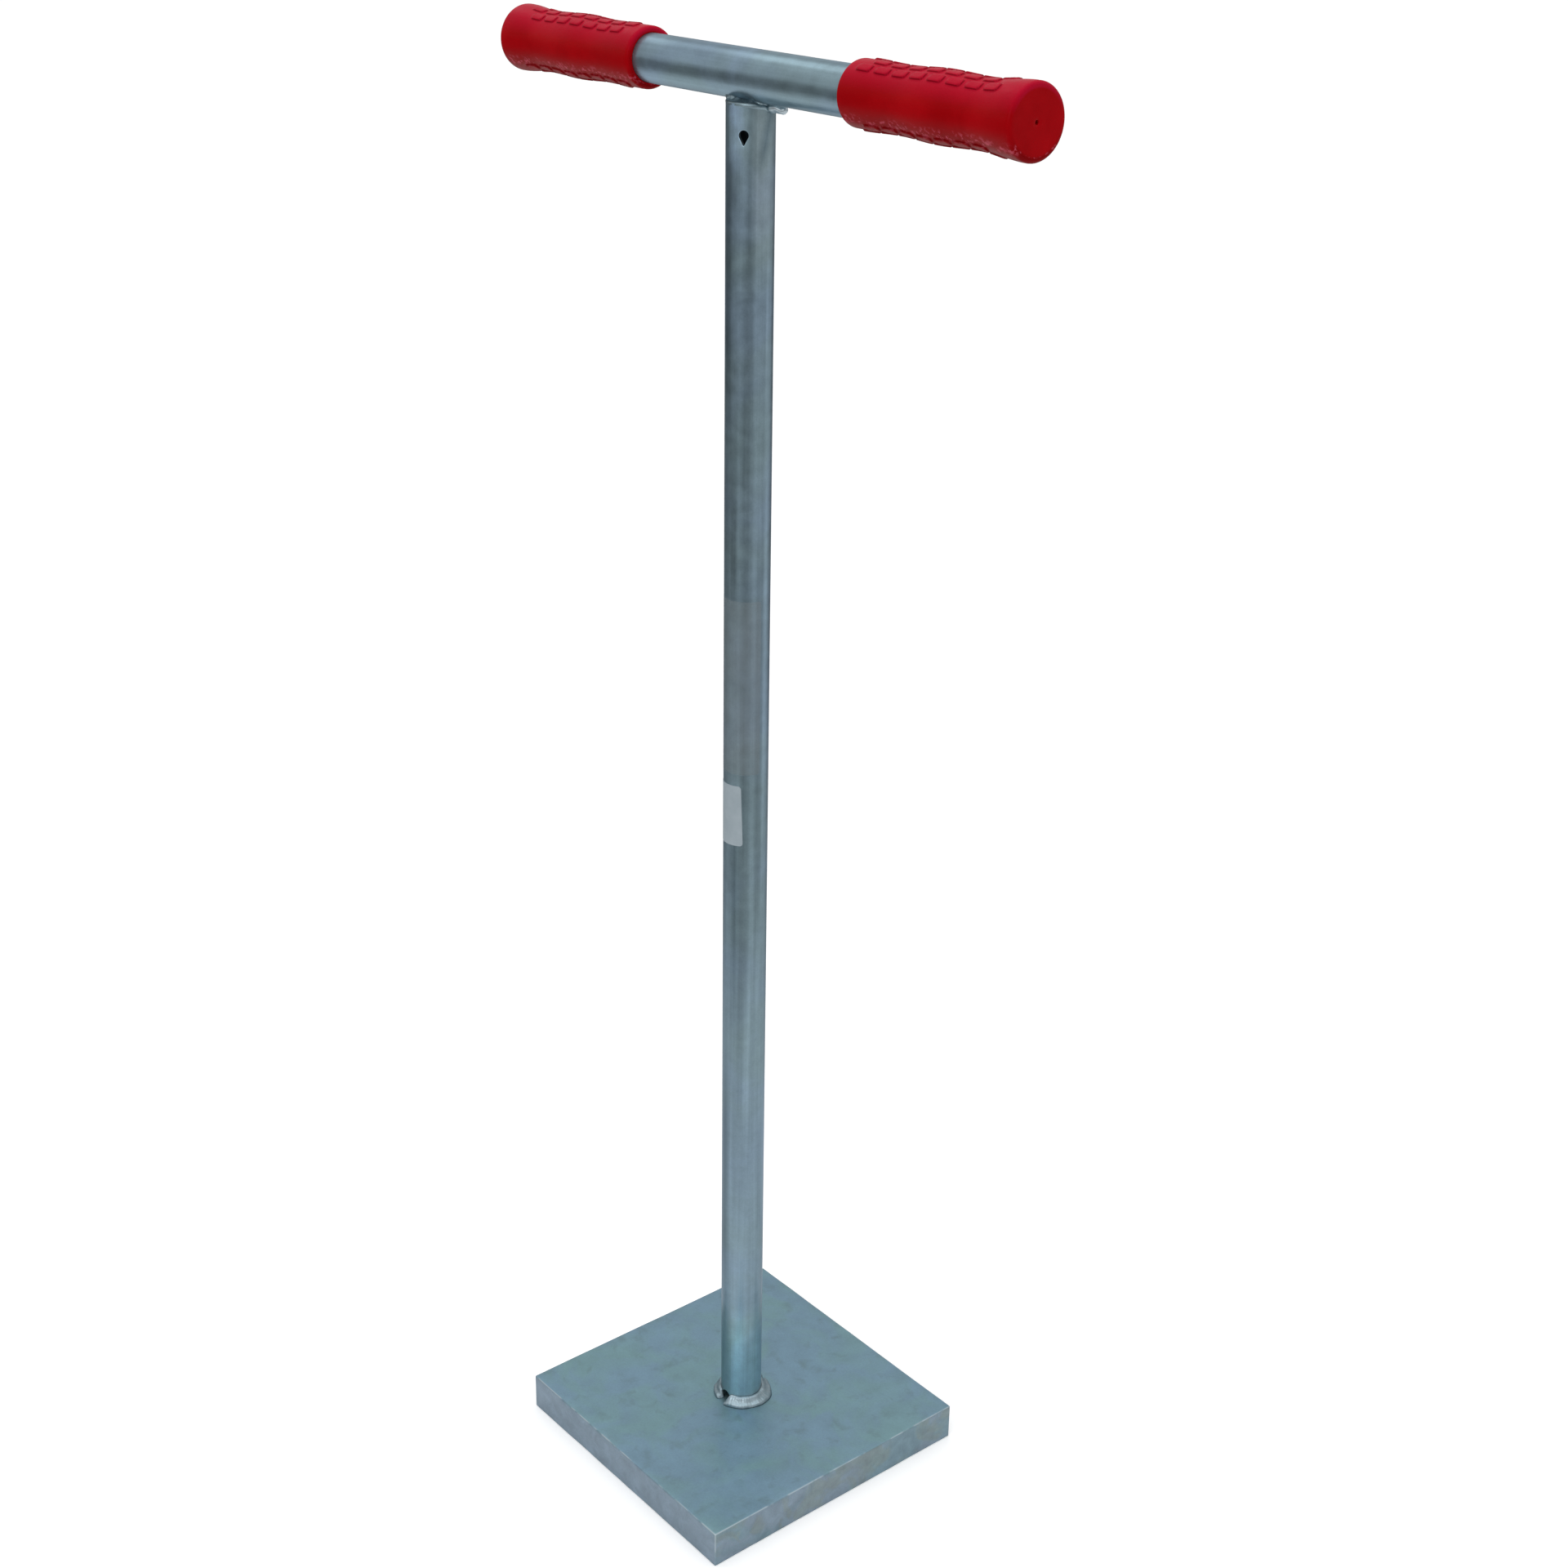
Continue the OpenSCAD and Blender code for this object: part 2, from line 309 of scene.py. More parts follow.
def to_object(name, bm, sharp_angle):
    """A smooth object from a finished bmesh, with its faces turned outwards."""
    bmesh.ops.remove_doubles(bm, verts=bm.verts, dist=MERGE_DISTANCE)
    bmesh.ops.recalc_face_normals(bm, faces=bm.faces)
    mesh = bpy.data.meshes.new(name)
    bm.to_mesh(mesh)
    bm.free()
    mesh.shade_smooth()
    mesh.set_sharp_from_angle(angle=math.radians(sharp_angle))
    obj = bpy.data.objects.new(name, mesh)
    bpy.context.scene.collection.objects.link(obj)
    return obj


def skin_object(name, rings, sharp_angle, looped=False, painted=None):
    """An object with a looped or capped skin, and layers of numbers painted on its points."""
    bm = bmesh.new()
    layers = [(bm.verts.layers.float.new(key), rows) for key, rows in (painted or {}).items()]
    verts = skin(bm, rings, looped, capped=not looped)
    for layer, numbers in layers:
        for row, row_numbers in zip(verts, numbers):
            for vert, number in zip(row, row_numbers):
                vert[layer] = number
    return to_object(name, bm, sharp_angle)


def combine(obj, tool, operation, sharp_angle):
    """Cuts a closed tool shape out of an object, or joins it on, and deletes the tool."""
    boolean = obj.modifiers.new("combine", "BOOLEAN")
    boolean.operation = operation
    boolean.solver = "EXACT"
    boolean.object = tool
    bpy.context.view_layer.update()
    shaped = obj.evaluated_get(bpy.context.evaluated_depsgraph_get())
    plain = obj.data
    obj.data = bpy.data.meshes.new_from_object(shaped)
    obj.modifiers.clear()
    bpy.data.meshes.remove(plain)
    bpy.data.objects.remove(tool)
    obj.data.name = obj.name
    obj.data.set_sharp_from_angle(angle=math.radians(sharp_angle))
    return obj


def stand_for(obj, node, material):
    """Puts a piece in the place of its solid, with its finish."""
    obj.data.materials.clear()
    obj.data.materials.append(material)
    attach(obj, BODY)
    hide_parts(node)


# Sole plate

def axis_steps(lo, hi):
    """Grid lines along one axis: even angles over the rounded edges, even cells between."""
    bend = [math.radians(45 * (1 - i / EDGE_STEPS)) for i in range(EDGE_STEPS + 1)]
    edge = [EDGE_ROUND * (1 - math.tan(a)) for a in bend]
    inner_lo = lo + EDGE_ROUND
    inner_hi = hi - EDGE_ROUND
    cells = max(1, round((inner_hi - inner_lo) / PLATE_CELL))
    middle = [mix(inner_lo, inner_hi, i / cells) for i in range(1, cells)]
    return [lo + e for e in edge] + middle + [hi - e for e in reversed(edge)]


def rounded_point(p):
    """A point of the box, moved onto its rounded and dented skin, and the normal there."""
    r = EDGE_ROUND * (1 + EDGE_ROUND_SPREAD * waver(p, DENT_SIZE / 2, EDGE_SEED))
    core = Vector([min(max(p[i], plate_lo[i] + r), plate_hi[i] - r) for i in range(3)])
    normal = (p - core).normalized()
    skin_point = core + normal * r
    if normal.z > UNDERSIDE:
        skin_point -= normal * PLATE_DENT * (1 + waver(p, DENT_SIZE, DENT_SEED)) / 2
    return skin_point, normal


def build_plate():
    bm = bmesh.new()
    edge_layer = bm.verts.layers.float.new("edge")
    side_layer = bm.verts.layers.float.new("side")
    end_layer = bm.verts.layers.float.new("cut_end")
    steps = [axis_steps(plate_lo[i], plate_hi[i]) for i in range(3)]
    for flat in range(3):
        u_axis = (flat + 1) % 3
        v_axis = (flat + 2) % 3
        for level in (plate_lo[flat], plate_hi[flat]):
            rows = []
            for u in steps[u_axis]:
                row = []
                for v in steps[v_axis]:
                    p = Vector((0, 0, 0))
                    p[flat] = level
                    p[u_axis] = u
                    p[v_axis] = v
                    place, normal = rounded_point(p)
                    vert = bm.verts.new(place)
                    flatness = max(abs(n) for n in normal)
                    vert[edge_layer] = min(1.0, (1 - flatness) / (1 - math.sqrt(0.5)))
                    vert[side_layer] = 1 - abs(normal.z)
                    vert[end_layer] = abs(normal.x)
                    row.append(vert)
                rows.append(row)
            for a, b in zip(rows, rows[1:]):
                bridge(bm, a, b, closed=False)
    return to_object("sole_plate", bm, PLATE_SHARP)


# Tubes: the shaft with its end, its drain hole and its notch, and the crossbar

def cope_z(radius, turn):
    """Height of the shaft's end, under the crossbar and inside the bead that covers it."""
    y = radius * math.cos(math.radians(turn))
    depth = math.sqrt(max(0.0, (bar_r + COPE_GAP) ** 2 - y * y))
    return min(shaft_hi.z, bar_z - depth) - COPE_COVER


drain_out = around(1, DRAIN_TURN, 0)
drain_across = around(1, DRAIN_TURN + 90, 0)
drain_z = bar_z - DRAIN_DROP
drain_side = math.asin(DRAIN_R / DRAIN_POINT)


def drain_point(angle, margin, wall_r, depth=0.0):
    """A point of the drop's outline on a round wall, moved out by a margin or in by a depth."""
    below = math.atan2(-math.sin(angle), abs(math.cos(angle)))
    reach = (DRAIN_R + margin) / math.cos(max(0.0, below - drain_side))
    reach = min(reach, DRAIN_TIP + margin)
    across = reach * math.cos(angle)
    out = math.sqrt(wall_r ** 2 - across ** 2) - depth
    return drain_across * across + drain_out * out + Vector((0, 0, drain_z + reach * math.sin(angle)))


def unrolled(p):
    """Turn and height of a point, with the turn near that of the drain hole."""
    turn = math.degrees(math.atan2(p.x, -p.y))
    return DRAIN_TURN + (turn - DRAIN_TURN + 180) % 360 - 180, p.z


def tube_wall(bm, radius):
    """One round wall of the shaft: its bottom row, its top row and a window's loop."""
    window_lo = drain_z - WINDOW_BELOW
    window_hi = drain_z + WINDOW_ABOVE
    low_rows = math.ceil((window_lo - plate_top) / TUBE_ROW)
    levels = [mix(plate_top, window_lo, i / low_rows) for i in range(low_rows)]
    first = len(levels)
    levels += [mix(window_lo, window_hi, i / WINDOW_ROWS) for i in range(WINDOW_ROWS + 1)]
    last = len(levels) - 1
    turns = [DRAIN_TURN + 360 * i / TUBE_COLUMNS for i in range(TUBE_COLUMNS)]
    rows = [[bm.verts.new(around(radius, t, z)) for t in turns] for z in levels]
    for part in (0.5, 1.0):
        heights = [mix(window_hi, cope_z(radius, t), part) for t in turns]
        rows.append([bm.verts.new(around(radius, t, z)) for t, z in zip(turns, heights)])
    for r in range(len(rows) - 1):
        for c in range(-TUBE_COLUMNS // 2, TUBE_COLUMNS // 2):
            in_window = first <= r < last and -WINDOW_COLUMNS <= c < WINDOW_COLUMNS
            if not in_window:
                n = (c + 1) % TUBE_COLUMNS
                bm.faces.new((rows[r][c], rows[r][n], rows[r + 1][n], rows[r + 1][c]))
    reach = WINDOW_COLUMNS
    loop = [rows[first][c] for c in range(-reach, reach)]
    loop += [rows[r][reach] for r in range(first, last)]
    loop += [rows[last][c] for c in range(reach, -reach, -1)]
    loop += [rows[r][-reach] for r in range(last, first, -1)]
    return rows[0], rows[-1], loop


def patch_rings(loop, rim, radius):
    """Rings from a window's loop in to the rim of the hole, on the wall itself."""
    rings = []
    for step in range(1, PATCH_STEPS):
        u = step / PATCH_STEPS
        ring = []
        for vert, point in zip(loop, rim):
            turn_a, z_a = unrolled(vert.co)
            turn_b, z_b = unrolled(point)
            ring.append(around(radius, mix(turn_a, turn_b, u), mix(z_a, z_b, u)))
        rings.append(ring)
    return rings


def build_shaft():
    bm = bmesh.new()
    rim_glint_layer = bm.verts.layers.float.new("rim")
    bore_r = shaft_r - TUBE_WALL
    low_out, top_out, loop_out = tube_wall(bm, shaft_r)
    low_in, top_in, loop_in = tube_wall(bm, bore_r)
    bridge(bm, low_out, low_in)
    bridge(bm, top_out, top_in)
    angles = []
    for vert in loop_out:
        turn, z = unrolled(vert.co)
        across = shaft_r * math.radians(turn - DRAIN_TURN)
        angles.append(math.atan2(z - drain_z, across))
    rim = [drain_point(a, DRAIN_RIM, shaft_r) for a in angles]
    rings = patch_rings(loop_out, rim, shaft_r)
    for step in range(DRAIN_RIM_STEPS + 1):
        u = step / DRAIN_RIM_STEPS
        ring = []
        for a, start in zip(angles, rim):
            corner = drain_point(a, 0.0, shaft_r)
            end = drain_point(a, 0.0, shaft_r, DRAIN_RIM)
            ring.append(start * (1 - u) ** 2 + corner * 2 * u * (1 - u) + end * u ** 2)
        rings.append(ring)
    inner_rim = [drain_point(a, 0.0, bore_r) for a in angles]
    rings.append(inner_rim)
    rings += reversed(patch_rings(loop_in, inner_rim, bore_r))
    rows = skin(bm, rings)
    bridge(bm, loop_out, rows[0])
    bridge(bm, rows[-1], loop_in)
    # The wall of the drain hole is marked for a painted highlight
    hole_wall = PATCH_STEPS - 1 + DRAIN_RIM_STEPS
    for row in rows[hole_wall:hole_wall + 2]:
        for vert in row:
            vert[rim_glint_layer] = 1.0
    return combine(to_object("shaft", bm, TUBE_SHARP), notch_tool(), "DIFFERENCE", TUBE_SHARP)


def notch_tool():
    """An arched bar that cuts the drain notch through the front wall of the foot."""
    half = NOTCH_W / 2
    outline = [(half, -half), (-half, -half)]
    for i in range(NOTCH_STEPS + 1):
        a = math.pi * (1 - i / NOTCH_STEPS)
        outline.append((half * math.cos(a), NOTCH_H - half + half * math.sin(a)))
    out = around(1, NOTCH_TURN, 0)
    across = around(1, NOTCH_TURN + 90, 0)
    ends = []
    for depth in (shaft_r / 2, shaft_r * 2):
        ends.append([across * u + out * depth + Vector((0, 0, plate_top + z)) for u, z in outline])
    return skin_object("notch_tool", ends, TUBE_SHARP)


def build_crossbar():
    bore_r = bar_r - TUBE_WALL
    rows = max(2, round((bar_hi.x - bar_lo.x) / TUBE_ROW))
    stations = [mix(bar_lo.x, bar_hi.x, i / rows) for i in range(rows + 1)]
    rings = []
    angles = [math.tau * i / TUBE_COLUMNS for i in range(TUBE_COLUMNS)]
    for radius, along in ((bar_r, stations), (bore_r, reversed(stations))):
        for x in along:
            ring = [(x, radius * math.cos(a), bar_z + radius * math.sin(a)) for a in angles]
            rings.append(ring)
    return skin_object("crossbar", rings, TUBE_SHARP, looped=True)


# Grips

swell_at = grip_len / 2
rim_at = grip_len - FLARE_LEN
# Thickness of a grip at distances from its inner end
grip_stations = (
    (0.0, COLLAR_T),
    (COLLAR_LEN, COLLAR_T),
    ((COLLAR_LEN + swell_at) / 2, WAIST_T),
    (swell_at, SWELL_T),
    ((swell_at + rim_at) / 2, NECK_T),
    (rim_at, FLARE_T),
    (grip_len, FLARE_T),
)


def grip_outline_r(s):
    """Radius of the smooth grip at a distance from its inner end, with rounded ends."""
    for (s0, t0), (s1, t1) in zip(grip_stations, grip_stations[1:]):
        if s <= s1:
            radius = bar_r + mix(t0, t1, ease((s - s0) / (s1 - s0)))
            break
    near = min(s, grip_len - s)
    if near < GRIP_ROUND:
        inset = GRIP_ROUND - near
        radius -= GRIP_ROUND - math.sqrt(max(0.0, GRIP_ROUND ** 2 - inset ** 2))
    return radius


pad_pitch = PAD_LEN + PAD_GAP


def pad_row_list():
    """Every row of pads: its turn from the top towards the front, first pad and count."""
    rows = []
    for band in (0, 180):
        for row in range(PAD_ROWS):
            shifted = row % 2 == 0
            turn = band + (row - (PAD_ROWS - 1) / 2) * PAD_ROW_TURN
            first = PAD_START + (pad_pitch / 2 if shifted else 0.0)
            rows.append((turn, first, PAD_COUNT - 1 if shifted else PAD_COUNT))
    return rows


pad_rows = pad_row_list()


def pad_cover(s, turn):
    """1 on a pad, 0 beside it, with a soft ramp over its rounded edge."""
    cover = 0.0
    for row_turn, first, count in pad_rows:
        offset = (turn - row_turn + 180) % 360 - 180
        across = abs(math.radians(offset)) * PAD_MEAN_R
        if across > PAD_W:
            continue
        index = min(max(round((s - first - PAD_LEN / 2) / pad_pitch), 0), count - 1)
        along = abs(s - first - PAD_LEN / 2 - index * pad_pitch)
        qx = along - PAD_LEN / 2 + PAD_CORNER
        qy = across - PAD_W / 2 + PAD_CORNER
        outside = math.hypot(max(qx, 0.0), max(qy, 0.0)) + min(max(qx, qy), 0.0) - PAD_CORNER
        cover = max(cover, smooth_step((PAD_RAMP - outside) / (2 * PAD_RAMP)))
    return cover


def fill_gaps(lines, widest):
    """Sorted lines with none too close together and no gap wider than asked."""
    closest = widest / MOST_LINES_IN_CELL
    kept = []
    for line in sorted(lines):
        if not kept or line - kept[-1] > closest:
            kept.append(line)
    full = []
    for a, b in zip(kept, kept[1:]):
        parts = math.ceil((b - a) / widest)
        full += [mix(a, b, i / parts) for i in range(parts)]
    return full + [kept[-1]]


def grip_lengthwise_lines():
    """Distances from the inner end, close together over the ramps of the pads."""
    lines = [GRIP_ROUND, grip_len - GRIP_ROUND]
    for _, first, count in pad_rows[:2]:
        for index in range(count):
            for edge in (0.0, PAD_LEN):
                at = first + index * pad_pitch + edge
                lines += [at + PAD_RAMP * part for part in PAD_RAMP_LINES]
    return fill_gaps(lines, GRIP_CELL)


def grip_round_lines():
    """Turns around the grip, close together over the ramps of the pads."""
    lines = []
    for turn, _, _ in pad_rows:
        for side in (-1, 1):
            for part in PAD_RAMP_LINES:
                across = PAD_W / 2 + PAD_RAMP * part
                lines.append((turn + side * math.degrees(across / PAD_MEAN_R)) % 360)
    lines = fill_gaps(lines, GRIP_CELL_TURN)
    wrap = fill_gaps([lines[-1], lines[0] + 360], GRIP_CELL_TURN)
    return lines + wrap[1:-1]


def build_grip(name, facing):
    """One grip. Facing is 1 for the right-hand one and -1 for the left."""
    turns = grip_round_lines()
    body = grip_lengthwise_lines()
    bend = [math.radians(90 * i / GRIP_ROUND_STEPS) for i in range(GRIP_ROUND_STEPS)]
    lead = [GRIP_ROUND * (1 - math.cos(a)) for a in bend]
    along = lead + body + [grip_len - s for s in reversed(lead)]
    bore_r = bar_r + GRIP_FIT
    flare_edge = grip_outline_r(grip_len)
    bore_end = grip_len - GRIP_END_WALL
    outline = [(0.0, bore_r, False)]
    outline += [(s, grip_outline_r(s), True) for s in along]
    for i in range(1, GRIP_FACE_RINGS + 1):
        r = mix(flare_edge, AIR_HOLE_R + AIR_HOLE_ROUND, i / GRIP_FACE_RINGS)
        outline.append((grip_len - GRIP_DISH * (1 - (r / flare_edge) ** 2), r, False))
    face = grip_len - GRIP_DISH
    bend_in, bend_out = AIR_HOLE_BEND
    outline += [
        (face - AIR_HOLE_ROUND * bend_in, AIR_HOLE_R + AIR_HOLE_ROUND * bend_out, False),
        (face - AIR_HOLE_ROUND, AIR_HOLE_R, False),
        (bore_end, AIR_HOLE_R, False),
        (bore_end, bore_r, False),
    ]
    rings = []
    pads = []
    brinks = []
    crowns = []
    for s, radius, padded in outline:
        ring = []
        covers = [pad_cover(s, turn) if padded else 0.0 for turn in turns]
        for turn, cover in zip(turns, covers):
            r = radius + PAD_H * cover
            a = math.radians(turn)
            ring.append((facing * (grip_lo.x + s), -facing * r * math.sin(a), bar_z + r * math.cos(a)))
        rings.append(ring)
        pads.append(covers)
        # The brink numbers place painted shade on the ramps of the pads
        brinks.append([4 * cover * (1 - cover) for cover in covers])
        crowns.append([math.cos(math.radians(turn)) if padded else 0.0 for turn in turns])
    painted = {"pad": pads, "brink": brinks, "crown": crowns}
    return skin_object(name, rings, GRIP_SHARP, looped=True, painted=painted)


# Weld beads

def ripple(run, u):
    """Crescent ripples of a bead at a length along it and a share of its section."""
    phase = run / RIPPLE_PITCH - RIPPLE_BEND * (2 * u - 1) ** 2
    return abs(math.sin(math.pi * phase)) - RIPPLE_MEAN


def end_taper(run, total, length):
    """1 along a bead, rounding down to nothing at both of its ends."""
    near = min(run, total - run) / length
    if near >= 1:
        return 1.0
    return math.sqrt(max(0.0, 1 - (1 - near) ** 2))


foot_start = math.degrees((NOTCH_W / 2 - FOOT_LAP) / shaft_r)


def build_foot_weld(name, first_turn, shade_from):
    """One run of the fillet round the foot. From an angle from the notch it turns to painted shade."""
    sweep = 180 - foot_start
    bead_r = shaft_r + FOOT_REACH / 2
    total = bead_r * math.radians(sweep)
    count = round(total / BEAD_STEP)
    rings = []
    toe_shades = []
    shade_sides = []
    for i in range(count + 1):
        run = total * mix(BEAD_CUT, 1 - BEAD_CUT, i / count)
        turn = first_turn + sweep * run / total
        full = end_taper(run, total, FOOT_TAPER)
        from_notch = abs((turn - NOTCH_TURN + 180) % 360 - 180) - foot_start
        climb = smooth_step(FOOT_CLIMB_START + bead_r * math.radians(from_notch) / FOOT_CLIMB)
        place = around(bead_r, turn, plate_top)
        sway = FOOT_REACH_SWAY * math.cos(math.radians(turn - FOOT_WIDE_TURN))
        reach = FOOT_REACH + sway + FOOT_WAVER * waver(place, FOOT_REACH_WAVE, FOOT_REACH_SEED)
        reach *= full
        rise = FOOT_RISE + FOOT_WAVER * waver(place, FOOT_RISE_WAVE, FOOT_RISE_SEED)
        rise *= full * climb
        ring = [around(shaft_r - BEAD_SINK, turn, plate_top - BEAD_SINK)]
        ring.append(around(shaft_r + reach, turn, plate_top - BEAD_SINK))
        toe = [0.0, 0.0]
        slope = math.hypot(reach, rise)
        for k in range(BEAD_POINTS + 1):
            u = k / BEAD_POINTS
            r = shaft_r + reach * (1 - u)
            z = plate_top + rise * u
            rolls = sum(share * bell(u, at, FOOT_ROLL_SPAN) for at, share in FOOT_ROLLS)
            proud = FOOT_ROLL * rolls + FOOT_RIPPLE * ripple(run, u)
            proud += FOOT_LUMP * waver(around(r, turn, z), FOOT_LUMP_SIZE, FOOT_LUMP_SEED)
            proud *= smooth_step(min(u, 1 - u) / FOOT_EDGE_FADE)
            proud = (proud + FOOT_SWELL * math.sin(math.pi * u)) * full
            ring.append(around(r + proud * rise / slope, turn, z + proud * reach / slope))
            # The toe points get painted shade
            toe.append(1.0 if k in (0, BEAD_POINTS) else 0.0)
        ring.append(around(shaft_r - BEAD_SINK, turn, plate_top + rise))
        toe.append(1.0)
        rings.append(ring)
        toe_shades.append(toe)
        # Painted shade beyond that angle
        shade_sides.append([smooth_step((from_notch - shade_from) / FOOT_SHADE_SPAN)] * len(ring))
    return skin_object(name, rings, BEAD_SHARP, painted={"toe": toe_shades, "shade_side": shade_sides})


def bar_bead_section(turn):
    """The section of the bead under the crossbar at a turn, eased between its stations."""
    for (turn_a, *a), (turn_b, *b) in zip(BAR_BEAD, BAR_BEAD[1:]):
        if turn <= turn_b:
            share = smooth_step((turn - turn_a) / (turn_b - turn_a))
            return [mix(p, q, share) * MM for p, q in zip(a, b)]


def bar_bead_ring(turn):
    """A section of the bead, from toe to crease to edge, and how much painted shade each point gets."""
    toe_drop, crease_drop, crease_out, edge_out, belly = bar_bead_section(turn)
    out = around(1, turn, 0)
    toe = around(shaft_r - BAR_BEAD_SINK, turn, bar_z - toe_drop)
    crease = around(shaft_r + crease_out, turn, bar_z - crease_drop)
    edge_r = shaft_r + edge_out
    edge_y = edge_r * out.y
    bar_out = Vector((0, edge_y, -math.sqrt(bar_r ** 2 - edge_y ** 2))).normalized()
    edge = Vector((edge_r * out.x, 0, bar_z)) + bar_out * (bar_r - BAR_BEAD_SINK)
    lump = BAR_BEAD_WAVER + BAR_BEAD_LUMP * bell(turn, BAR_BEAD_LUMP_TURN, BAR_BEAD_LUMP_SPAN)
    ring = []
    dark = []
    open_crease = smooth_step((CREASE_SHUT - crease_out) / CREASE_OPENING)
    rolled = smooth_step(belly / ROLLED_BELLY)
    for k in range(BAR_BEAD_LOW_POINTS + 1):
        v = k / BAR_BEAD_LOW_POINTS
        point = toe.lerp(crease, v)
        swell = belly + lump * waver(point, BAR_BEAD_LUMP_SIZE, BAR_BEAD_SEED)
        ring.append(point + out * swell * math.sin(math.pi * v))
        toe_line = TOE_DARK * rolled * (1 - v * TOE_FADE)
        dark.append(max(toe_line, open_crease * (1 - (1 - v) * CREASE_FADE_BELOW), 0.0))
    chord = edge - crease
    proud = (out * chord.z - Vector((0, 0, chord.dot(out)))).normalized()
    for k in range(1, BAR_BEAD_HIGH_POINTS + 1):
        v = k / BAR_BEAD_HIGH_POINTS
        point = crease.lerp(edge, v)
        swell = lump * waver(point, BAR_BEAD_LUMP_SIZE, BAR_BEAD_SEED) - BAR_BEAD_SAG * chord.length
        ring.append(point + proud * swell * math.sin(math.pi * v))
        dark.append(max(open_crease * (1 - v * CREASE_FADE_ABOVE), 0.0))
    ring.append(around(min(edge_r, shaft_r) - BAR_BEAD_ROOT, turn, edge.z))
    dark.append(0.0)
    return ring, dark


def build_tail():
    """The lumpy tail, from inside the bead to its tip."""
    start = around(shaft_r - BAR_BEAD_ROOT, TAIL_FROM_TURN, bar_z - TAIL_FROM_DROP)
    tip = TAIL_TIP + Vector((0, 0, bar_z))
    axis = (tip - start).normalized()
    side = axis.cross(Vector((0, 0, 1))).normalized()
    up = side.cross(axis)
    length = (tip - start).length
    rings = []
    for i in range(TAIL_STEPS + 1):
        u = min(max(ease(i / TAIL_STEPS), BEAD_CUT), 1 - BEAD_CUT)
        centre = start + axis * length * u
        full = mix(TAIL_ROOT_R, TAIL_TIP_R, u)
        near = min(min(u, 1 - u) * length / full, 1.0)
        radius = full * math.sqrt(1 - (1 - near) ** 2)
        ring = []
        for k in range(TAIL_POINTS):
            a = math.tau * k / TAIL_POINTS
            spoke = side * math.cos(a) + up * math.sin(a)
            point = centre + spoke * radius
            lump = TAIL_WAVER * waver(point, TAIL_WAVER_SIZE, TAIL_SEED) * radius / full
            ring.append(point + spoke * lump)
        rings.append(ring)
    return skin_object("tail", rings, BEAD_SHARP)


def build_top_weld(name, first_turn):
    """One run of the bead under the crossbar, over half a turn."""
    total = shaft_r * math.pi
    count = round(total / BEAD_STEP)
    sections = [bar_bead_ring(first_turn + 180 * i / count) for i in range(count + 1)]
    rings, toe_shades = zip(*sections)
    return skin_object(name, rings, BEAD_SHARP, painted={"toe": toe_shades})


# Labels

def build_label(name, lo_z, hi_z, right_turn, width, tilt):
    """A thin sheet wrapped round the shaft, with rounded corners and a little tilt."""
    mid_z = (lo_z + hi_z) / 2
    half_h = (hi_z - lo_z) / 2
    half_w = width / 2
    mid_turn = right_turn - math.degrees(half_w / shaft_r)
    lean = math.radians(tilt)
    rings = []
    for i in range(LABEL_COLUMNS + 1):
        across = -half_w * math.cos(math.pi * i / LABEL_COLUMNS)
        near = half_w - abs(across)
        inset = 0.0
        if near < LABEL_CORNER:
            inset = LABEL_CORNER - math.sqrt(LABEL_CORNER ** 2 - (LABEL_CORNER - near) ** 2)
        sheet = []
        for k in range(LABEL_ROWS + 1):
            up = mix(-half_h + inset, half_h - inset, k / LABEL_ROWS)
            turned_across = across * math.cos(lean) - up * math.sin(lean)
            turned_up = across * math.sin(lean) + up * math.cos(lean)
            sheet.append((mid_turn + math.degrees(turned_across / shaft_r), mid_z + turned_up))
        ring = [around(shaft_r + LABEL_T, turn, z) for turn, z in sheet]
        ring += [around(shaft_r - LABEL_SINK, turn, z) for turn, z in reversed(sheet)]
        rings.append(ring)
    return skin_object(name, rings, TUBE_SHARP)


# Finishes

class Nodes:
    """A node tree, with short ways to add to it."""

    def __init__(self, owner):
        owner.use_nodes = True
        self.tree = owner.node_tree

    def first(self, kind):
        return next(node for node in self.tree.nodes if node.type == kind)

    def feed(self, socket, value):
        """Links a socket to another, or sets its value."""
        if isinstance(value, bpy.types.NodeSocket):
            self.tree.links.new(value, socket)
        elif socket.type == "RGBA":
            socket.default_value = (*value, 1.0)
        else:
            socket.default_value = value

    def set(self, node, inputs):
        for key, value in inputs.items():
            self.feed(node.inputs[key], value)

    def node(self, kind, inputs, **settings):
        """A new node with its settings and its inputs, by name or by number."""
        made = self.tree.nodes.new("ShaderNode" + kind)
        for key, value in settings.items():
            setattr(made, key, value)
        self.set(made, inputs)
        return made

    def spread(self, source, lo, hi, to_lo=0.0, to_hi=1.0):
        """A number moved from one span to another and kept inside it."""
        inputs = {"Value": source, "From Min": lo, "From Max": hi, "To Min": to_lo, "To Max": to_hi}
        return self.node("MapRange", inputs, clamp=True).outputs["Result"]

    def ramp(self, source, stops):
        """A grey by a number from 0 to 1. The stops are pairs of a place and a brightness."""
        made = self.node("ValToRGB", {"Fac": source})
        elements = made.color_ramp.elements
        for index, (place, level) in enumerate(stops):
            element = elements[index] if index < 2 else elements.new(place)
            element.position = place
            element.color = (level, level, level, 1)
        return made.outputs["Color"]

    def blend(self, amount, a, b, how="MIX"):
        """Mixes two colours, given as sockets or as red, green and blue."""
        made = self.node("Mix", {}, data_type="RGBA", blend_type=how)
        factor = next(s for s in made.inputs if s.name == "Factor" and s.type == "VALUE")
        colours = [s for s in made.inputs if s.type == "RGBA"]
        for socket, value in zip([factor, *colours], (amount, a, b)):
            self.feed(socket, value)
        return next(s for s in made.outputs if s.type == "RGBA")

    def tint(self, amount, colour, factor):
        """Multiplies a colour by another one, by an amount from 0 to 1."""
        return self.blend(amount, colour, factor, "MULTIPLY")


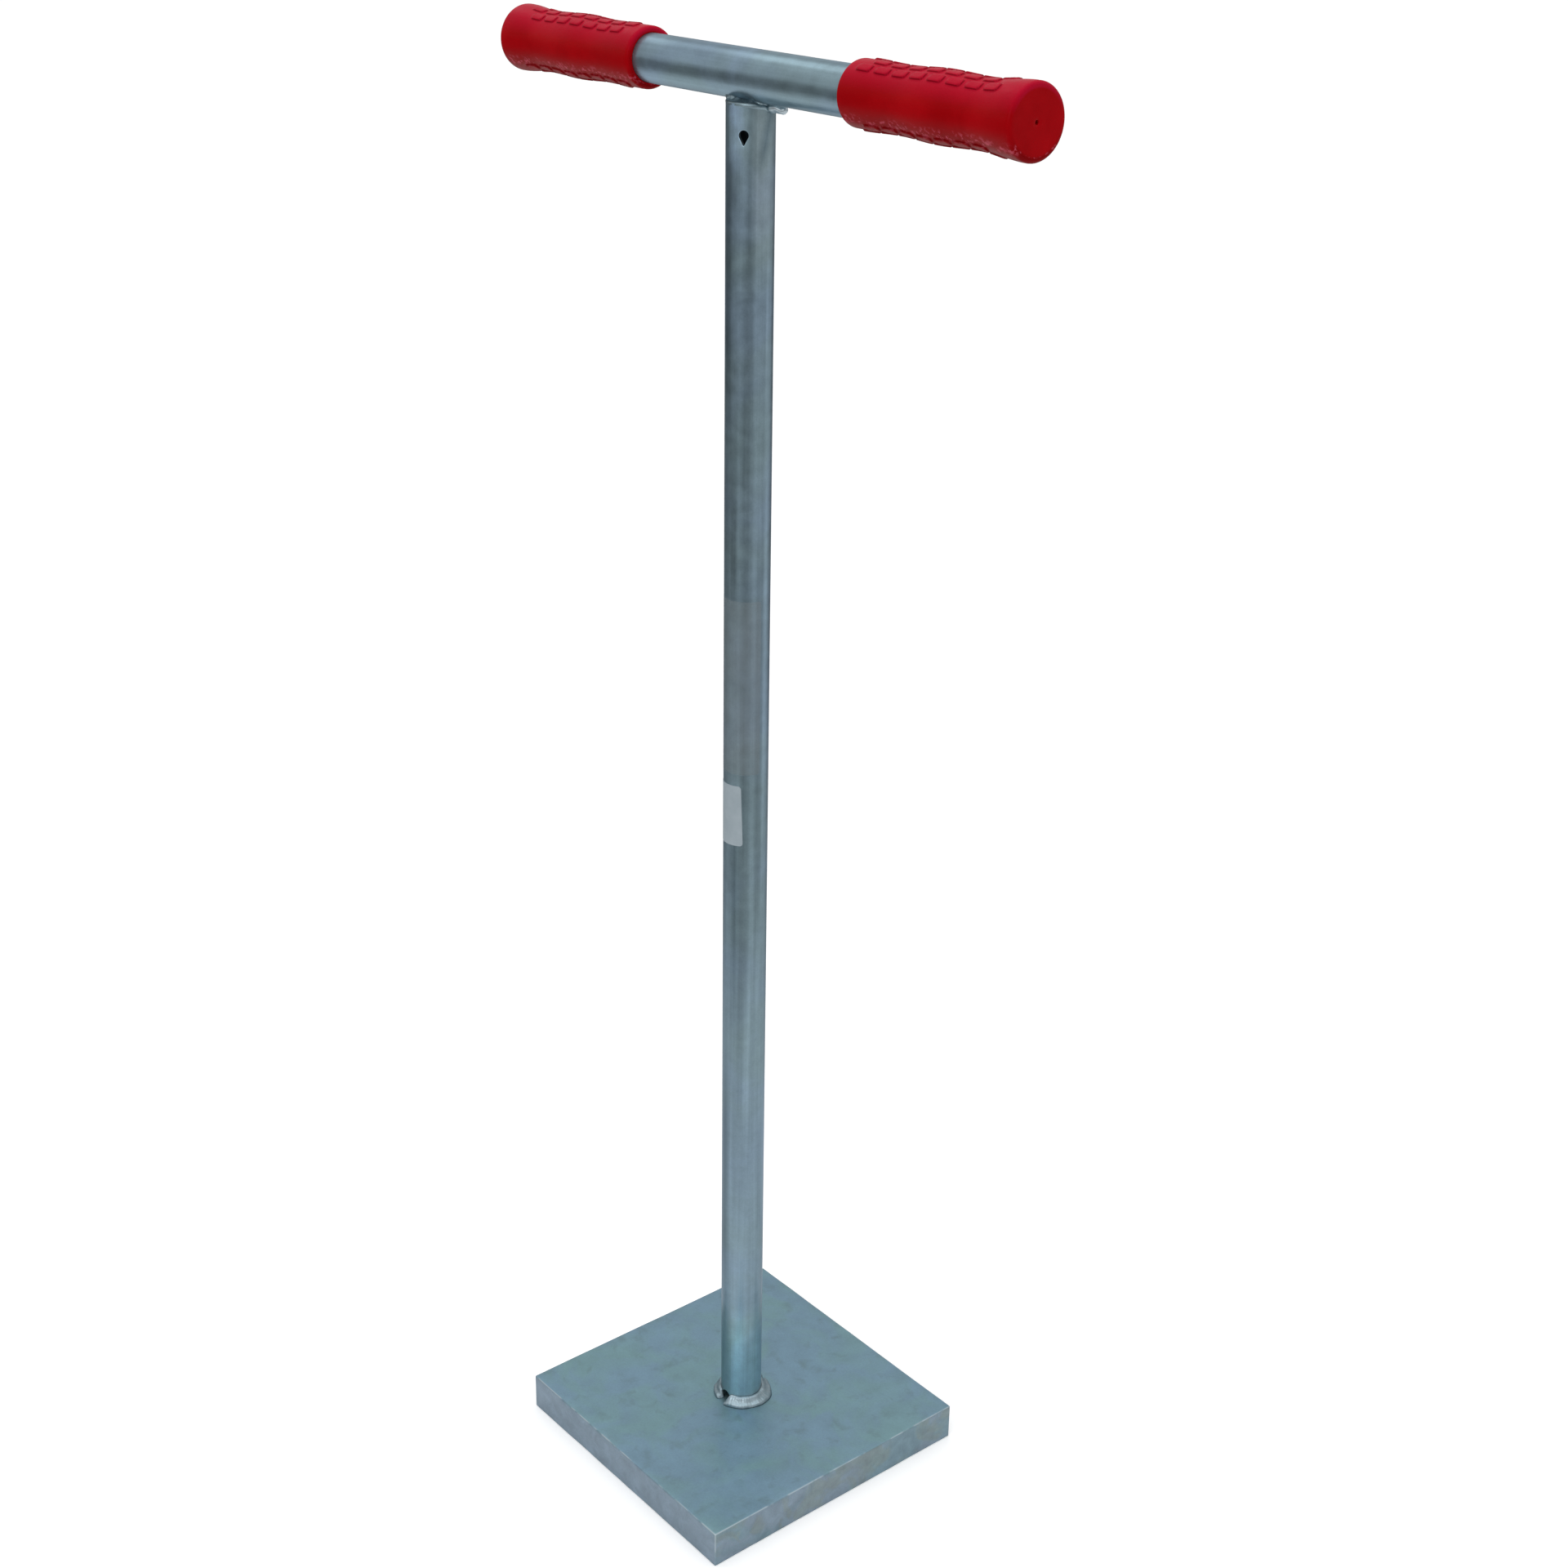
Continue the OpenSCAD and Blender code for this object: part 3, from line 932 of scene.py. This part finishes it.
class Finish(Nodes):
    """One procedural material. Places are object coordinates, so textures have real sizes."""

    def __init__(self, name):
        self.material = bpy.data.materials.new(name)
        super().__init__(self.material)
        self.place = self.node("TexCoord", {}).outputs["Object"]

    def stretched(self, scale):
        mapping = self.node("Mapping", {"Vector": self.place, "Scale": scale})
        return mapping.outputs["Vector"]

    def cloud(self, size, detail=3.0, rough=0.55, warp=0.0, place=None):
        """Noise from 0 to 1 with features of a size in metres."""
        made = self.node("TexNoise", {
            "Vector": place or self.place,
            "Scale": 1 / size,
            "Detail": detail,
            "Roughness": rough,
            "Distortion": warp,
        })
        return made.outputs["Fac"]

    def along(self, axis):
        """The place along an axis, X, Y or Z, in metres."""
        return self.node("SeparateXYZ", {"Vector": self.place}).outputs[axis]

    def within(self, axis, span):
        """From 0 to 1 over a span along an axis."""
        return self.spread(self.along(axis), *span)

    def measure(self, direction):
        """How far a place lies along a direction."""
        inputs = {0: self.place, 1: direction}
        return self.node("VectorMath", inputs, operation="DOT_PRODUCT").outputs["Value"]

    def painted(self, name):
        return self.node("Attribute", {}, attribute_name=name).outputs["Fac"]

    def ridge(self, source, middle, half):
        """1 where a number is at the middle of a span, falling to 0 at both of its ends."""
        rising = self.spread(source, middle - half, middle)
        return self.times(rising, self.spread(source, middle + half, middle))

    def times(self, product, *others):
        for other in others:
            made = self.node("Math", {0: product, 1: other}, operation="MULTIPLY")
            product = made.outputs["Value"]
        return product

    def level(self, cloud, lo, hi, thin=0.3, thick=0.7):
        """A number that follows a cloud from its thin to its thick places."""
        return self.spread(cloud, thin, thick, lo, hi)

    def patchy(self, cloud, a, b, thin=0.35, thick=0.65, most=1.0):
        """One colour where a cloud is thin, and at most a share of another where it is thick."""
        return self.blend(self.spread(cloud, thin, thick, 0.0, most), a, b)

    def shade(self, colour, cloud, lo, hi):
        """Darkens and lightens a colour by a cloud, from one factor to another."""
        factor = self.level(cloud, lo, hi)
        grey = self.node("CombineColor", {"Red": factor, "Green": factor, "Blue": factor})
        return self.tint(1.0, colour, grey.outputs["Color"])

    def relief(self, height, depth, strength, below=None):
        made = self.node("Bump", {"Height": height, "Distance": depth, "Strength": strength})
        if below:
            self.feed(made.inputs["Normal"], below)
        return made.outputs["Normal"]

    def finish(self, colour, roughness, normal, **constants):
        shader = self.first("BSDF_PRINCIPLED")
        self.set(shader, {"Base Color": colour, "Roughness": roughness, "Normal": normal})
        self.set(shader, {key.replace("_", " "): value for key, value in constants.items()})
        return self.material


# Zinc, as red, green and blue
TEAL = (0.211, 0.350, 0.385)
BLUE = (0.213, 0.336, 0.427)
LILAC = (0.258, 0.376, 0.442)
OLIVE = (0.300, 0.360, 0.330)
TUBE_GREY = (0.282, 0.395, 0.446)
TUBE_BLUE = (0.292, 0.405, 0.506)
# Paler zinc of the plate's side faces: painted light
FLANK_LIT_BLUE = (0.300, 0.389, 0.472)
MOSS = (0.150, 0.225, 0.235)
# Bright zinc; it also paints highlights on the plate's edges and on the drain hole's wall
BRIGHT = (0.560, 0.650, 0.700)
# Painted shade in the crevices along the toes and creases of the beads
TOE_SHADE = (0.050, 0.070, 0.080)
# Foot bead tones: lit ones in front as painted light, darker ones as painted shade
FOOT_LIT_TONES = (0.30, 0.40, 0.45), (0.39, 0.49, 0.55)
FOOT_SHADED_TONES = (0.20, 0.28, 0.32), (0.30, 0.38, 0.42)
BAR_BEAD_TONES = (0.25, 0.34, 0.38), (0.30, 0.40, 0.45)
TAIL_BRIGHT_X = (14 * MM, 17 * MM)

# Vinyl, film and paper
RED_TONES = (0.36, 0.001, 0.003), (0.44, 0.002, 0.005)
RED_WORN = (0.52, 0.012, 0.022)
# Painted light on the grips: a sheen on top, shade underneath, flecks of reflected floor, and shade
# beside the pads
RED_TOP_SHEEN = (0.50, 0.004, 0.030)
RED_UNDER_SHADE = (0.20, 0.0005, 0.001)
RED_FLECK_REFLECTION = (0.66, 0.10, 0.15)
RED_BRINK_SHADE = (0.10, 0.0005, 0.001)
FILM_TONES = (0.46, 0.53, 0.55), (0.52, 0.58, 0.60)
# The sticker's white paper, darkened to grey-blue as painted shade
PAPER_SHADED_TONES = (0.39, 0.47, 0.52), (0.44, 0.52, 0.57)

# Fine streaks of drawn tube, in waves a metre
WAVES_ACROSS = 220.0
WAVES_ALONG = 5.0
# Where the shaft is painted paler, as painted light, at its foot and on two sides of its head, and by
# what factors
FOOT_GLOW_Z = (0.105, 0.075)
FOOT_GLOW_X = (1 * MM, 9 * MM)
FOOT_GLOW_FRONT = (1.10, 1.13, 1.06)
FOOT_GLOW_SIDE = (1.52, 1.55, 1.42)
HEAD_SIDE_Z = (bar_z - 110 * MM, bar_z - 70 * MM)
HEAD_SIDE_Y = (-9 * MM, -5 * MM)
HEAD_SIDE_GLOW = (1.32, 1.24, 1.20)
HEAD_FRONT_Z = (bar_z - 52 * MM, bar_z - 36 * MM)
HEAD_FRONT_Y = (-10.5 * MM, -13 * MM)
HEAD_FRONT_X = (-2.5 * MM, 0.5 * MM)
HEAD_FRONT_GLOW = (1.85, 1.85, 2.00)
# The dark band that slants across its head, a painted reflection, and the painted dark streak below the
# sticker
BAND_SLOPE = 0.23
BAND_AT = 7.2 * MM
BAND_HALF_W = 4.5 * MM
BAND_SHADE = (0.58, 0.62, 0.66)
STREAK_Z = (0.290, 0.385)
STREAK_Y = (0.0, -6 * MM)
STREAK_AT = 5.2 * MM
STREAK_HALF_W = 4.5 * MM
STREAK_SHADE = (0.55, 0.57, 0.58)
# Long runs over the zinc, partly streaks of the drawn tube and partly painted light and shade: turn and
# half width in degrees, the places along the tube, in millimetres, where each starts, is full, is still
# full and ends, and its factor
SHAFT_STREAK_AND_LIGHT_RUNS = (
    (43, 26, 40, 70, 145, 195, 1.30),
    (-10, 24, 105, 150, 240, 300, 0.66),
    (102, 16, 145, 170, 225, 260, 0.85),
    (58, 13, 235, 260, 330, 370, 1.22),
    (47, 17, 290, 340, 790, 825, 0.78),
    (84, 13, 340, 410, 590, 650, 0.72),
    (106, 13, 440, 500, 780, 810, 1.20),
    (14, 12, 585, 605, 640, 700, 0.70),
    (-10, 15, 690, 740, 830, 850, 0.62),
)
# The crossbar's runs are painted highlight and painted shade. Their turns are around the crossbar, from
# its top towards the front
BAR_LIGHT_RUNS = (
    (31, 28, -70, -55, -20, 0, 0.76),
    (33, 16, 5, 30, 90, 100, 1.27),
)


def plate_finish():
    """Zinc on thick plate, matte and even on the top. The side faces, the cut ends among them, are
    painted paler as painted light, and the cut ends are mottled and stained. The edges are paler,
    partly worn and partly a painted highlight.
    """
    f = Finish("zinc_plate")
    patch = f.cloud(110 * MM, 2, 0.5, 0.6)
    mottle = f.cloud(14 * MM, 5, 0.65)
    grain = f.cloud(1.3 * MM, 3, 0.6)
    hue = f.cloud(34 * MM, 3, 0.55, 0.8)
    top = f.patchy(hue, TEAL, BLUE, 0.40, 0.60)
    top = f.patchy(patch, top, BLUE, 0.40, 0.66, 0.4)
    blotch = f.cloud(12 * MM, 3, 0.55, 0.3)
    top = f.patchy(blotch, top, MOSS, 0.56, 0.74, 0.45)
    ends = f.patchy(hue, LILAC, FLANK_LIT_BLUE, 0.42, 0.58)
    stain = f.cloud(30 * MM, 2, 0.5, 1.5)
    ends = f.patchy(stain, ends, OLIVE, 0.52, 0.62, 0.5)
    flank = f.blend(f.painted("cut_end"), FLANK_LIT_BLUE, ends)
    scale = f.cloud(11 * MM, 4, 0.6, 0.8)
    flank = f.shade(flank, scale, 0.87, 1.12)
    # The side faces get the paler flank tone: painted light
    colour = f.blend(f.painted("side"), top, flank)
    colour = f.shade(colour, mottle, 0.92, 1.08)
    colour = f.shade(colour, grain, 0.96, 1.04)
    # Paler edges: partly worn zinc, partly a painted highlight on the rounded edges
    worn = f.cloud(22 * MM, 3, 0.6)
    wear_and_highlight = f.times(f.painted("edge"), f.spread(worn, 0.46, 0.56, 0.0, 0.9))
    colour = f.blend(wear_and_highlight, colour, BRIGHT)
    roughness = f.level(mottle, 0.42, 0.54)
    normal = f.relief(mottle, 0.4 * MM, 0.2)
    normal = f.relief(grain, 0.12 * MM, 0.35, normal)
    return f.finish(colour, roughness, normal, Metallic=0.85)


def shaft_painted_light(f, colour):
    """Painted light on the shaft: paler at its foot and head, with a slanted band of painted reflection
    and a painted dark streak.
    """
    glow = f.blend(f.within("X", FOOT_GLOW_X), FOOT_GLOW_FRONT, FOOT_GLOW_SIDE)
    colour = f.tint(f.within("Z", FOOT_GLOW_Z), colour, glow)
    side = f.times(f.within("Z", HEAD_SIDE_Z), f.within("Y", HEAD_SIDE_Y))
    colour = f.tint(side, colour, HEAD_SIDE_GLOW)
    head = f.within("Z", HEAD_FRONT_Z)
    front = f.times(head, f.within("Y", HEAD_FRONT_Y), f.within("X", HEAD_FRONT_X))
    colour = f.tint(front, colour, HEAD_FRONT_GLOW)
    band = f.ridge(f.measure((0, 1, -BAND_SLOPE)), BAND_AT - BAND_SLOPE * bar_z, BAND_HALF_W)
    colour = f.tint(f.times(head, band), colour, BAND_SHADE)
    streak = f.ridge(f.along("X"), STREAK_AT, STREAK_HALF_W)
    streak = f.times(streak, f.within("Y", STREAK_Y), f.within("Z", STREAK_Z))
    streak = f.times(streak, f.within("Z", (white_hi.z, white_lo.z)))
    return f.tint(streak, colour, STREAK_SHADE)


def painted_run(f, colour, out, axis, half, start, full, still, end, factor):
    """A run along one side of a tube that lightens or darkens its zinc by a factor, as painted light
    and shade, full over a quarter of its width.
    """
    middle = bar_z * out.z
    edge = middle + shaft_r * math.cos(math.radians(half))
    crest = middle + shaft_r * math.cos(math.radians(half / 4))
    run = f.spread(f.measure(out), edge, crest)
    run = f.times(run, f.within(axis, (start * MM, full * MM)), f.within(axis, (end * MM, still * MM)))
    return f.tint(run, colour, (factor, factor, factor))


def tube_finish(name, axis):
    """Zinc on drawn tube: fine streaks run along one axis, with long runs of painted light and shade
    over them.
    """
    f = Finish(name)
    waves = [WAVES_ACROSS, WAVES_ACROSS, WAVES_ACROSS]
    waves[axis] = WAVES_ALONG
    streak = f.cloud(1.0, 3, 0.6, 0.0, f.stretched(waves))
    patch = f.cloud(60 * MM, 3, 0.5, 0.6)
    mottle = f.cloud(8 * MM, 4, 0.6)
    grain = f.cloud(0.9 * MM, 2)
    colour = f.patchy(patch, TUBE_GREY, TUBE_BLUE, 0.40, 0.62)
    colour = f.shade(colour, mottle, 0.90, 1.08)
    colour = f.shade(colour, streak, 0.86, 1.12)
    colour = f.shade(colour, grain, 0.96, 1.04)
    if axis == 2:
        colour = shaft_painted_light(f, colour)
        for turn, *run in SHAFT_STREAK_AND_LIGHT_RUNS:
            colour = painted_run(f, colour, around(1, turn, 0), "Z", *run)
    else:
        for turn, *run in BAR_LIGHT_RUNS:
            a = math.radians(turn)
            colour = painted_run(f, colour, Vector((0, -math.sin(a), math.cos(a))), "X", *run)
    # A painted highlight on the wall of the drain hole
    colour = f.blend(f.painted("rim"), colour, BRIGHT)
    roughness = f.level(mottle, 0.29, 0.38)
    normal = f.relief(streak, 0.04 * MM, 0.25)
    normal = f.relief(mottle, 0.25 * MM, 0.2, normal)
    normal = f.relief(grain, 0.04 * MM, 0.25, normal)
    return f.finish(colour, roughness, normal, Metallic=0.85, Specular_Tint=(0.65, 0.70, 0.75))


def bead_finish(f, mottle, colour, metallic):
    """What all beads share: painted shade along the toe and crease lines, and a fine grain."""
    grain = f.cloud(0.7 * MM, 2)
    colour = f.blend(f.painted("toe"), colour, TOE_SHADE)
    colour = f.shade(colour, grain, 0.92, 1.06)
    roughness = f.level(mottle, 0.30, 0.44)
    normal = f.relief(grain, 0.08 * MM, 0.35)
    return f.finish(colour, roughness, normal, Metallic=metallic)


def foot_weld_finish():
    """Zinc on the foot beads, painted bright as light in front and painted dark as shade where they
    turn to the back.
    """
    f = Finish("zinc_foot_weld")
    mottle = f.cloud(4 * MM, 4, 0.6)
    bright = f.patchy(mottle, *FOOT_LIT_TONES)
    shade_side = f.patchy(mottle, *FOOT_SHADED_TONES)
    return bead_finish(f, mottle, f.blend(f.painted("shade_side"), bright, shade_side), metallic=0.8)


def bar_weld_finish():
    """Zinc on the beads under the crossbar, like the tube's, with a bright tail."""
    f = Finish("zinc_bar_weld")
    mottle = f.cloud(4 * MM, 4, 0.6)
    colour = f.patchy(mottle, *BAR_BEAD_TONES)
    colour = f.blend(f.within("X", TAIL_BRIGHT_X), colour, BRIGHT)
    return bead_finish(f, mottle, colour, metallic=0.85)


def grip_finish():
    """Red vinyl with worn pads, and painted light: a crimson painted sheen on top, painted shade
    underneath with a line of pale flecks as painted reflections, and painted shade beside the pads.
    """
    f = Finish("red_vinyl")
    cloudy = f.cloud(22 * MM, 3, 0.5)
    grain = f.cloud(0.8 * MM, 3, 0.6)
    scuff = f.cloud(5 * MM, 4, 0.65)
    crown = f.painted("crown")
    colour = f.patchy(cloudy, *RED_TONES)
    worn = f.times(f.painted("pad"), f.spread(scuff, 0.45, 0.65, 0.0, 0.25))
    colour = f.blend(worn, colour, RED_WORN)
    # A painted sheen on the tops
    colour = f.patchy(crown, colour, RED_TOP_SHEEN, 0.25, 0.85, 0.8)
    # Painted shade underneath
    colour = f.patchy(crown, colour, RED_UNDER_SHADE, -0.2, -0.8, 0.75)
    # Pale flecks along the underside: painted reflections of the floor
    flecks = f.spread(f.cloud(2.6 * MM, 3, 0.6), 0.52, 0.62, 0.0, 0.7)
    colour = f.blend(f.times(f.ridge(crown, -0.63, 0.22), flecks), colour, RED_FLECK_REFLECTION)
    # Painted shade on the ramps beside the pads
    colour = f.blend(f.times(f.painted("brink"), 0.6), colour, RED_BRINK_SHADE)
    colour = f.shade(colour, grain, 0.95, 1.05)
    roughness = f.level(scuff, 0.30, 0.40)
    normal = f.relief(f.cloud(9 * MM, 2), 0.4 * MM, 0.15)
    normal = f.relief(grain, 0.10 * MM, 0.30, normal)
    return f.finish(colour, roughness, normal, Specular_IOR_Level=0.05, Specular_Tint=(0.9, 0.5, 0.7))


def film_finish():
    """Clear, slightly hazy film with a faint wave."""
    f = Finish("clear_film")
    haze = f.cloud(14 * MM, 3, 0.5)
    wave = f.cloud(6 * MM, 2, 0.5)
    colour = f.patchy(haze, *FILM_TONES)
    roughness = f.level(wave, 0.12, 0.2)
    normal = f.relief(wave, 0.1 * MM, 0.15)
    return f.finish(colour, roughness, normal, Alpha=0.22)


def paper_finish():
    """Coated paper with a fine fibre, its white darkened to grey-blue as painted shade."""
    f = Finish("white_paper")
    fibre = f.cloud(0.6 * MM, 3, 0.6)
    cloudy = f.cloud(10 * MM, 3, 0.5)
    colour = f.patchy(cloudy, *PAPER_SHADED_TONES)
    colour = f.shade(colour, fibre, 0.97, 1.02)
    roughness = f.level(fibre, 0.42, 0.55)
    normal = f.relief(fibre, 0.03 * MM, 0.3)
    return f.finish(colour, roughness, normal)


# The object

plate_zinc = plate_finish()
shaft_zinc = tube_finish("zinc_shaft", 2)
bar_zinc = tube_finish("zinc_crossbar", 0)
foot_zinc = foot_weld_finish()
joint_zinc = bar_weld_finish()
red_vinyl = grip_finish()

stand_for(build_plate(), "base_plate", plate_zinc)
stand_for(build_shaft(), "shaft_tube", shaft_zinc)
stand_for(build_crossbar(), "crossbar_tube", bar_zinc)
stand_for(build_grip("right_grip", 1), "grip_right", red_vinyl)
stand_for(build_grip("left_grip", -1), "grip_left", red_vinyl)

right_run = NOTCH_TURN + foot_start
left_run = NOTCH_TURN + 180
right_bead = build_foot_weld("foot_bead_right", right_run, FOOT_SHADE_RIGHT)
stand_for(right_bead, "base_weld_right", foot_zinc)
left_bead = build_foot_weld("foot_bead_left", left_run, FOOT_SHADE_LEFT)
stand_for(left_bead, "base_weld_left", foot_zinc)
front_bead = build_top_weld("bar_bead_front", -90)
stand_for(front_bead, "crossbar_weld_front", joint_zinc)
rear_bead = combine(build_top_weld("bar_bead_rear", 90), build_tail(), "UNION", BEAD_SHARP)
stand_for(rear_bead, "crossbar_weld_rear", joint_zinc)

film = build_label("film_sheet", film_lo.z, film_hi.z, FILM_TURN, FILM_W, FILM_TILT)
stand_for(film, "film_label", film_finish())
sticker = build_label("white_sheet", white_lo.z, white_hi.z, WHITE_TURN, WHITE_W, WHITE_TILT)
stand_for(sticker, "white_label", paper_finish())


# Floor, light and camera

FLOOR_SIZE = 40
BACKDROP_R = 18
NEAR_FLOOR_R = 0.25
NEAR_FLOOR_LIFT = 0.05 * MM
WHITE = (1, 1, 1)
# Soft lights: place, the point that each faces, width, height, radiance and tint
LIGHTS = {
    "overhead": ((0.1, -0.1, 2.6), (0, 0, 0.4), 2.0, 1.6, 0.6, (0.96, 0.98, 1.0)),
    "front_window": ((0.85, -1.80, 1.5), (0, 0, 0.05), 0.9, 0.9, 2.6, WHITE),
    "left_window": ((-2.2, 0.35, 2.45), (0, 0, 0.8), 0.6, 0.7, 0.8, WHITE),
}
# Brightness of the studio by height, from straight down at -1 to straight up at 1
SKY_BY_HEIGHT = (
    (-1.0, 0.80), (-0.64, 0.80), (-0.56, 1.02), (-0.50, 0.80), (-0.44, 0.50), (-0.36, 0.45),
    (-0.23, 0.38), (-0.05, 0.42), (0.02, 0.48), (0.15, 0.62), (0.62, 0.65), (0.80, 0.90), (1.0, 1.15),
)
# Brightness of the far ground around the tool by turn from the front, as factors
GROUND_BY_TURN = (
    (-90, 0.40), (-51, 0.32), (-11, 0.52), (9, 0.82), (28, 0.54), (49, 0.48), (69, 0.70),
    (89, 1.10), (129, 1.05), (149, 1.25), (169, 1.00), (189, 0.55), (220, 0.50), (270, 0.40),
)
# How far those factors hold, by height
FAR_GROUND = ((-0.53, 0), (-0.36, 1), (0.0, 1), (0.15, 0))


def stage_piece(name, base, glow):
    """Gives the piece just added a pale, even finish. It is no part of the object."""
    piece = bpy.context.object
    piece.name = name
    material = bpy.data.materials.new(name)
    nodes = Nodes(material)
    nodes.set(nodes.first("BSDF_PRINCIPLED"), {
        "Base Color": (base, base, base),
        "Roughness": 0.9,
        "Emission Color": WHITE,
        "Emission Strength": glow,
    })
    piece.data.materials.append(material)
    piece.visible_diffuse = False
    return piece


def build_floor():
    """A wide floor and a pale backdrop for the camera, and the lit ground that the zinc mirrors."""
    bpy.ops.mesh.primitive_plane_add(size=FLOOR_SIZE)
    stage_piece("floor", base=0.97, glow=0.25).visible_glossy = False
    bpy.ops.mesh.primitive_uv_sphere_add(segments=48, ring_count=24, radius=BACKDROP_R)
    backdrop = stage_piece("backdrop", base=0.0, glow=1.0)
    backdrop.visible_glossy = False
    backdrop.visible_shadow = False
    lift = (0, 0, NEAR_FLOOR_LIFT)
    bpy.ops.mesh.primitive_circle_add(vertices=96, radius=NEAR_FLOOR_R, fill_type="NGON", location=lift)
    near = stage_piece("near_floor", base=0.85, glow=0.0)
    near.visible_camera = False
    near.visible_shadow = False


def softbox(name, place, aim, width, height, radiance, tint):
    """An area light that shines evenly, facing a point."""
    light = bpy.data.lights.new(name, "AREA")
    light.shape = "RECTANGLE"
    light.size = width
    light.size_y = height
    light.energy = radiance * math.pi * width * height
    light.color = tint
    obj = bpy.data.objects.new(name, light)
    obj.location = place
    obj.rotation_euler = (Vector(aim) - Vector(place)).to_track_quat("-Z", "Y").to_euler()
    obj.visible_camera = False
    bpy.context.scene.collection.objects.link(obj)


def build_world():
    """A soft studio: an even sky, a dark band under the horizon and a bright ground."""
    world = bpy.data.worlds.new("studio")
    studio = Nodes(world)
    place = studio.node("TexCoord", {}).outputs["Generated"]
    up = studio.node("SeparateXYZ", {"Vector": place}).outputs["Z"]
    height = studio.spread(up, -1, 1)
    sky = studio.ramp(height, [((z + 1) / 2, level) for z, level in SKY_BY_HEIGHT])
    far = studio.ramp(height, [((z + 1) / 2, level) for z, level in FAR_GROUND])
    radial = studio.node("TexGradient", {"Vector": place}, gradient_type="RADIAL")
    heading = radial.outputs["Fac"]
    around_it = studio.ramp(heading, [((turn + 90) / 360, level) for turn, level in GROUND_BY_TURN])
    background = studio.first("BACKGROUND")
    studio.feed(background.inputs["Color"], studio.tint(far, sky, around_it))
    bpy.context.scene.world = world


def build_camera():
    data = bpy.data.cameras.new("camera")
    data.sensor_width = CAMERA_SENSOR
    data.lens = CAMERA_LENS
    camera = bpy.data.objects.new("camera", data)
    turned = Matrix.Rotation(math.radians(CAMERA_TURN), 4, "Z")
    turned @= Matrix.Rotation(math.radians(90 - CAMERA_PITCH), 4, "X")
    turned @= Matrix.Rotation(math.radians(CAMERA_ROLL), 4, "Z")
    camera.matrix_world = Matrix.Translation(AIM + turned @ CAMERA_PLACE) @ turned
    bpy.context.scene.collection.objects.link(camera)
    bpy.context.scene.camera = camera


build_floor()
build_world()
for light_name, settings in LIGHTS.items():
    softbox(light_name, *settings)
build_camera()
bpy.context.scene.view_settings.view_transform = "Standard"
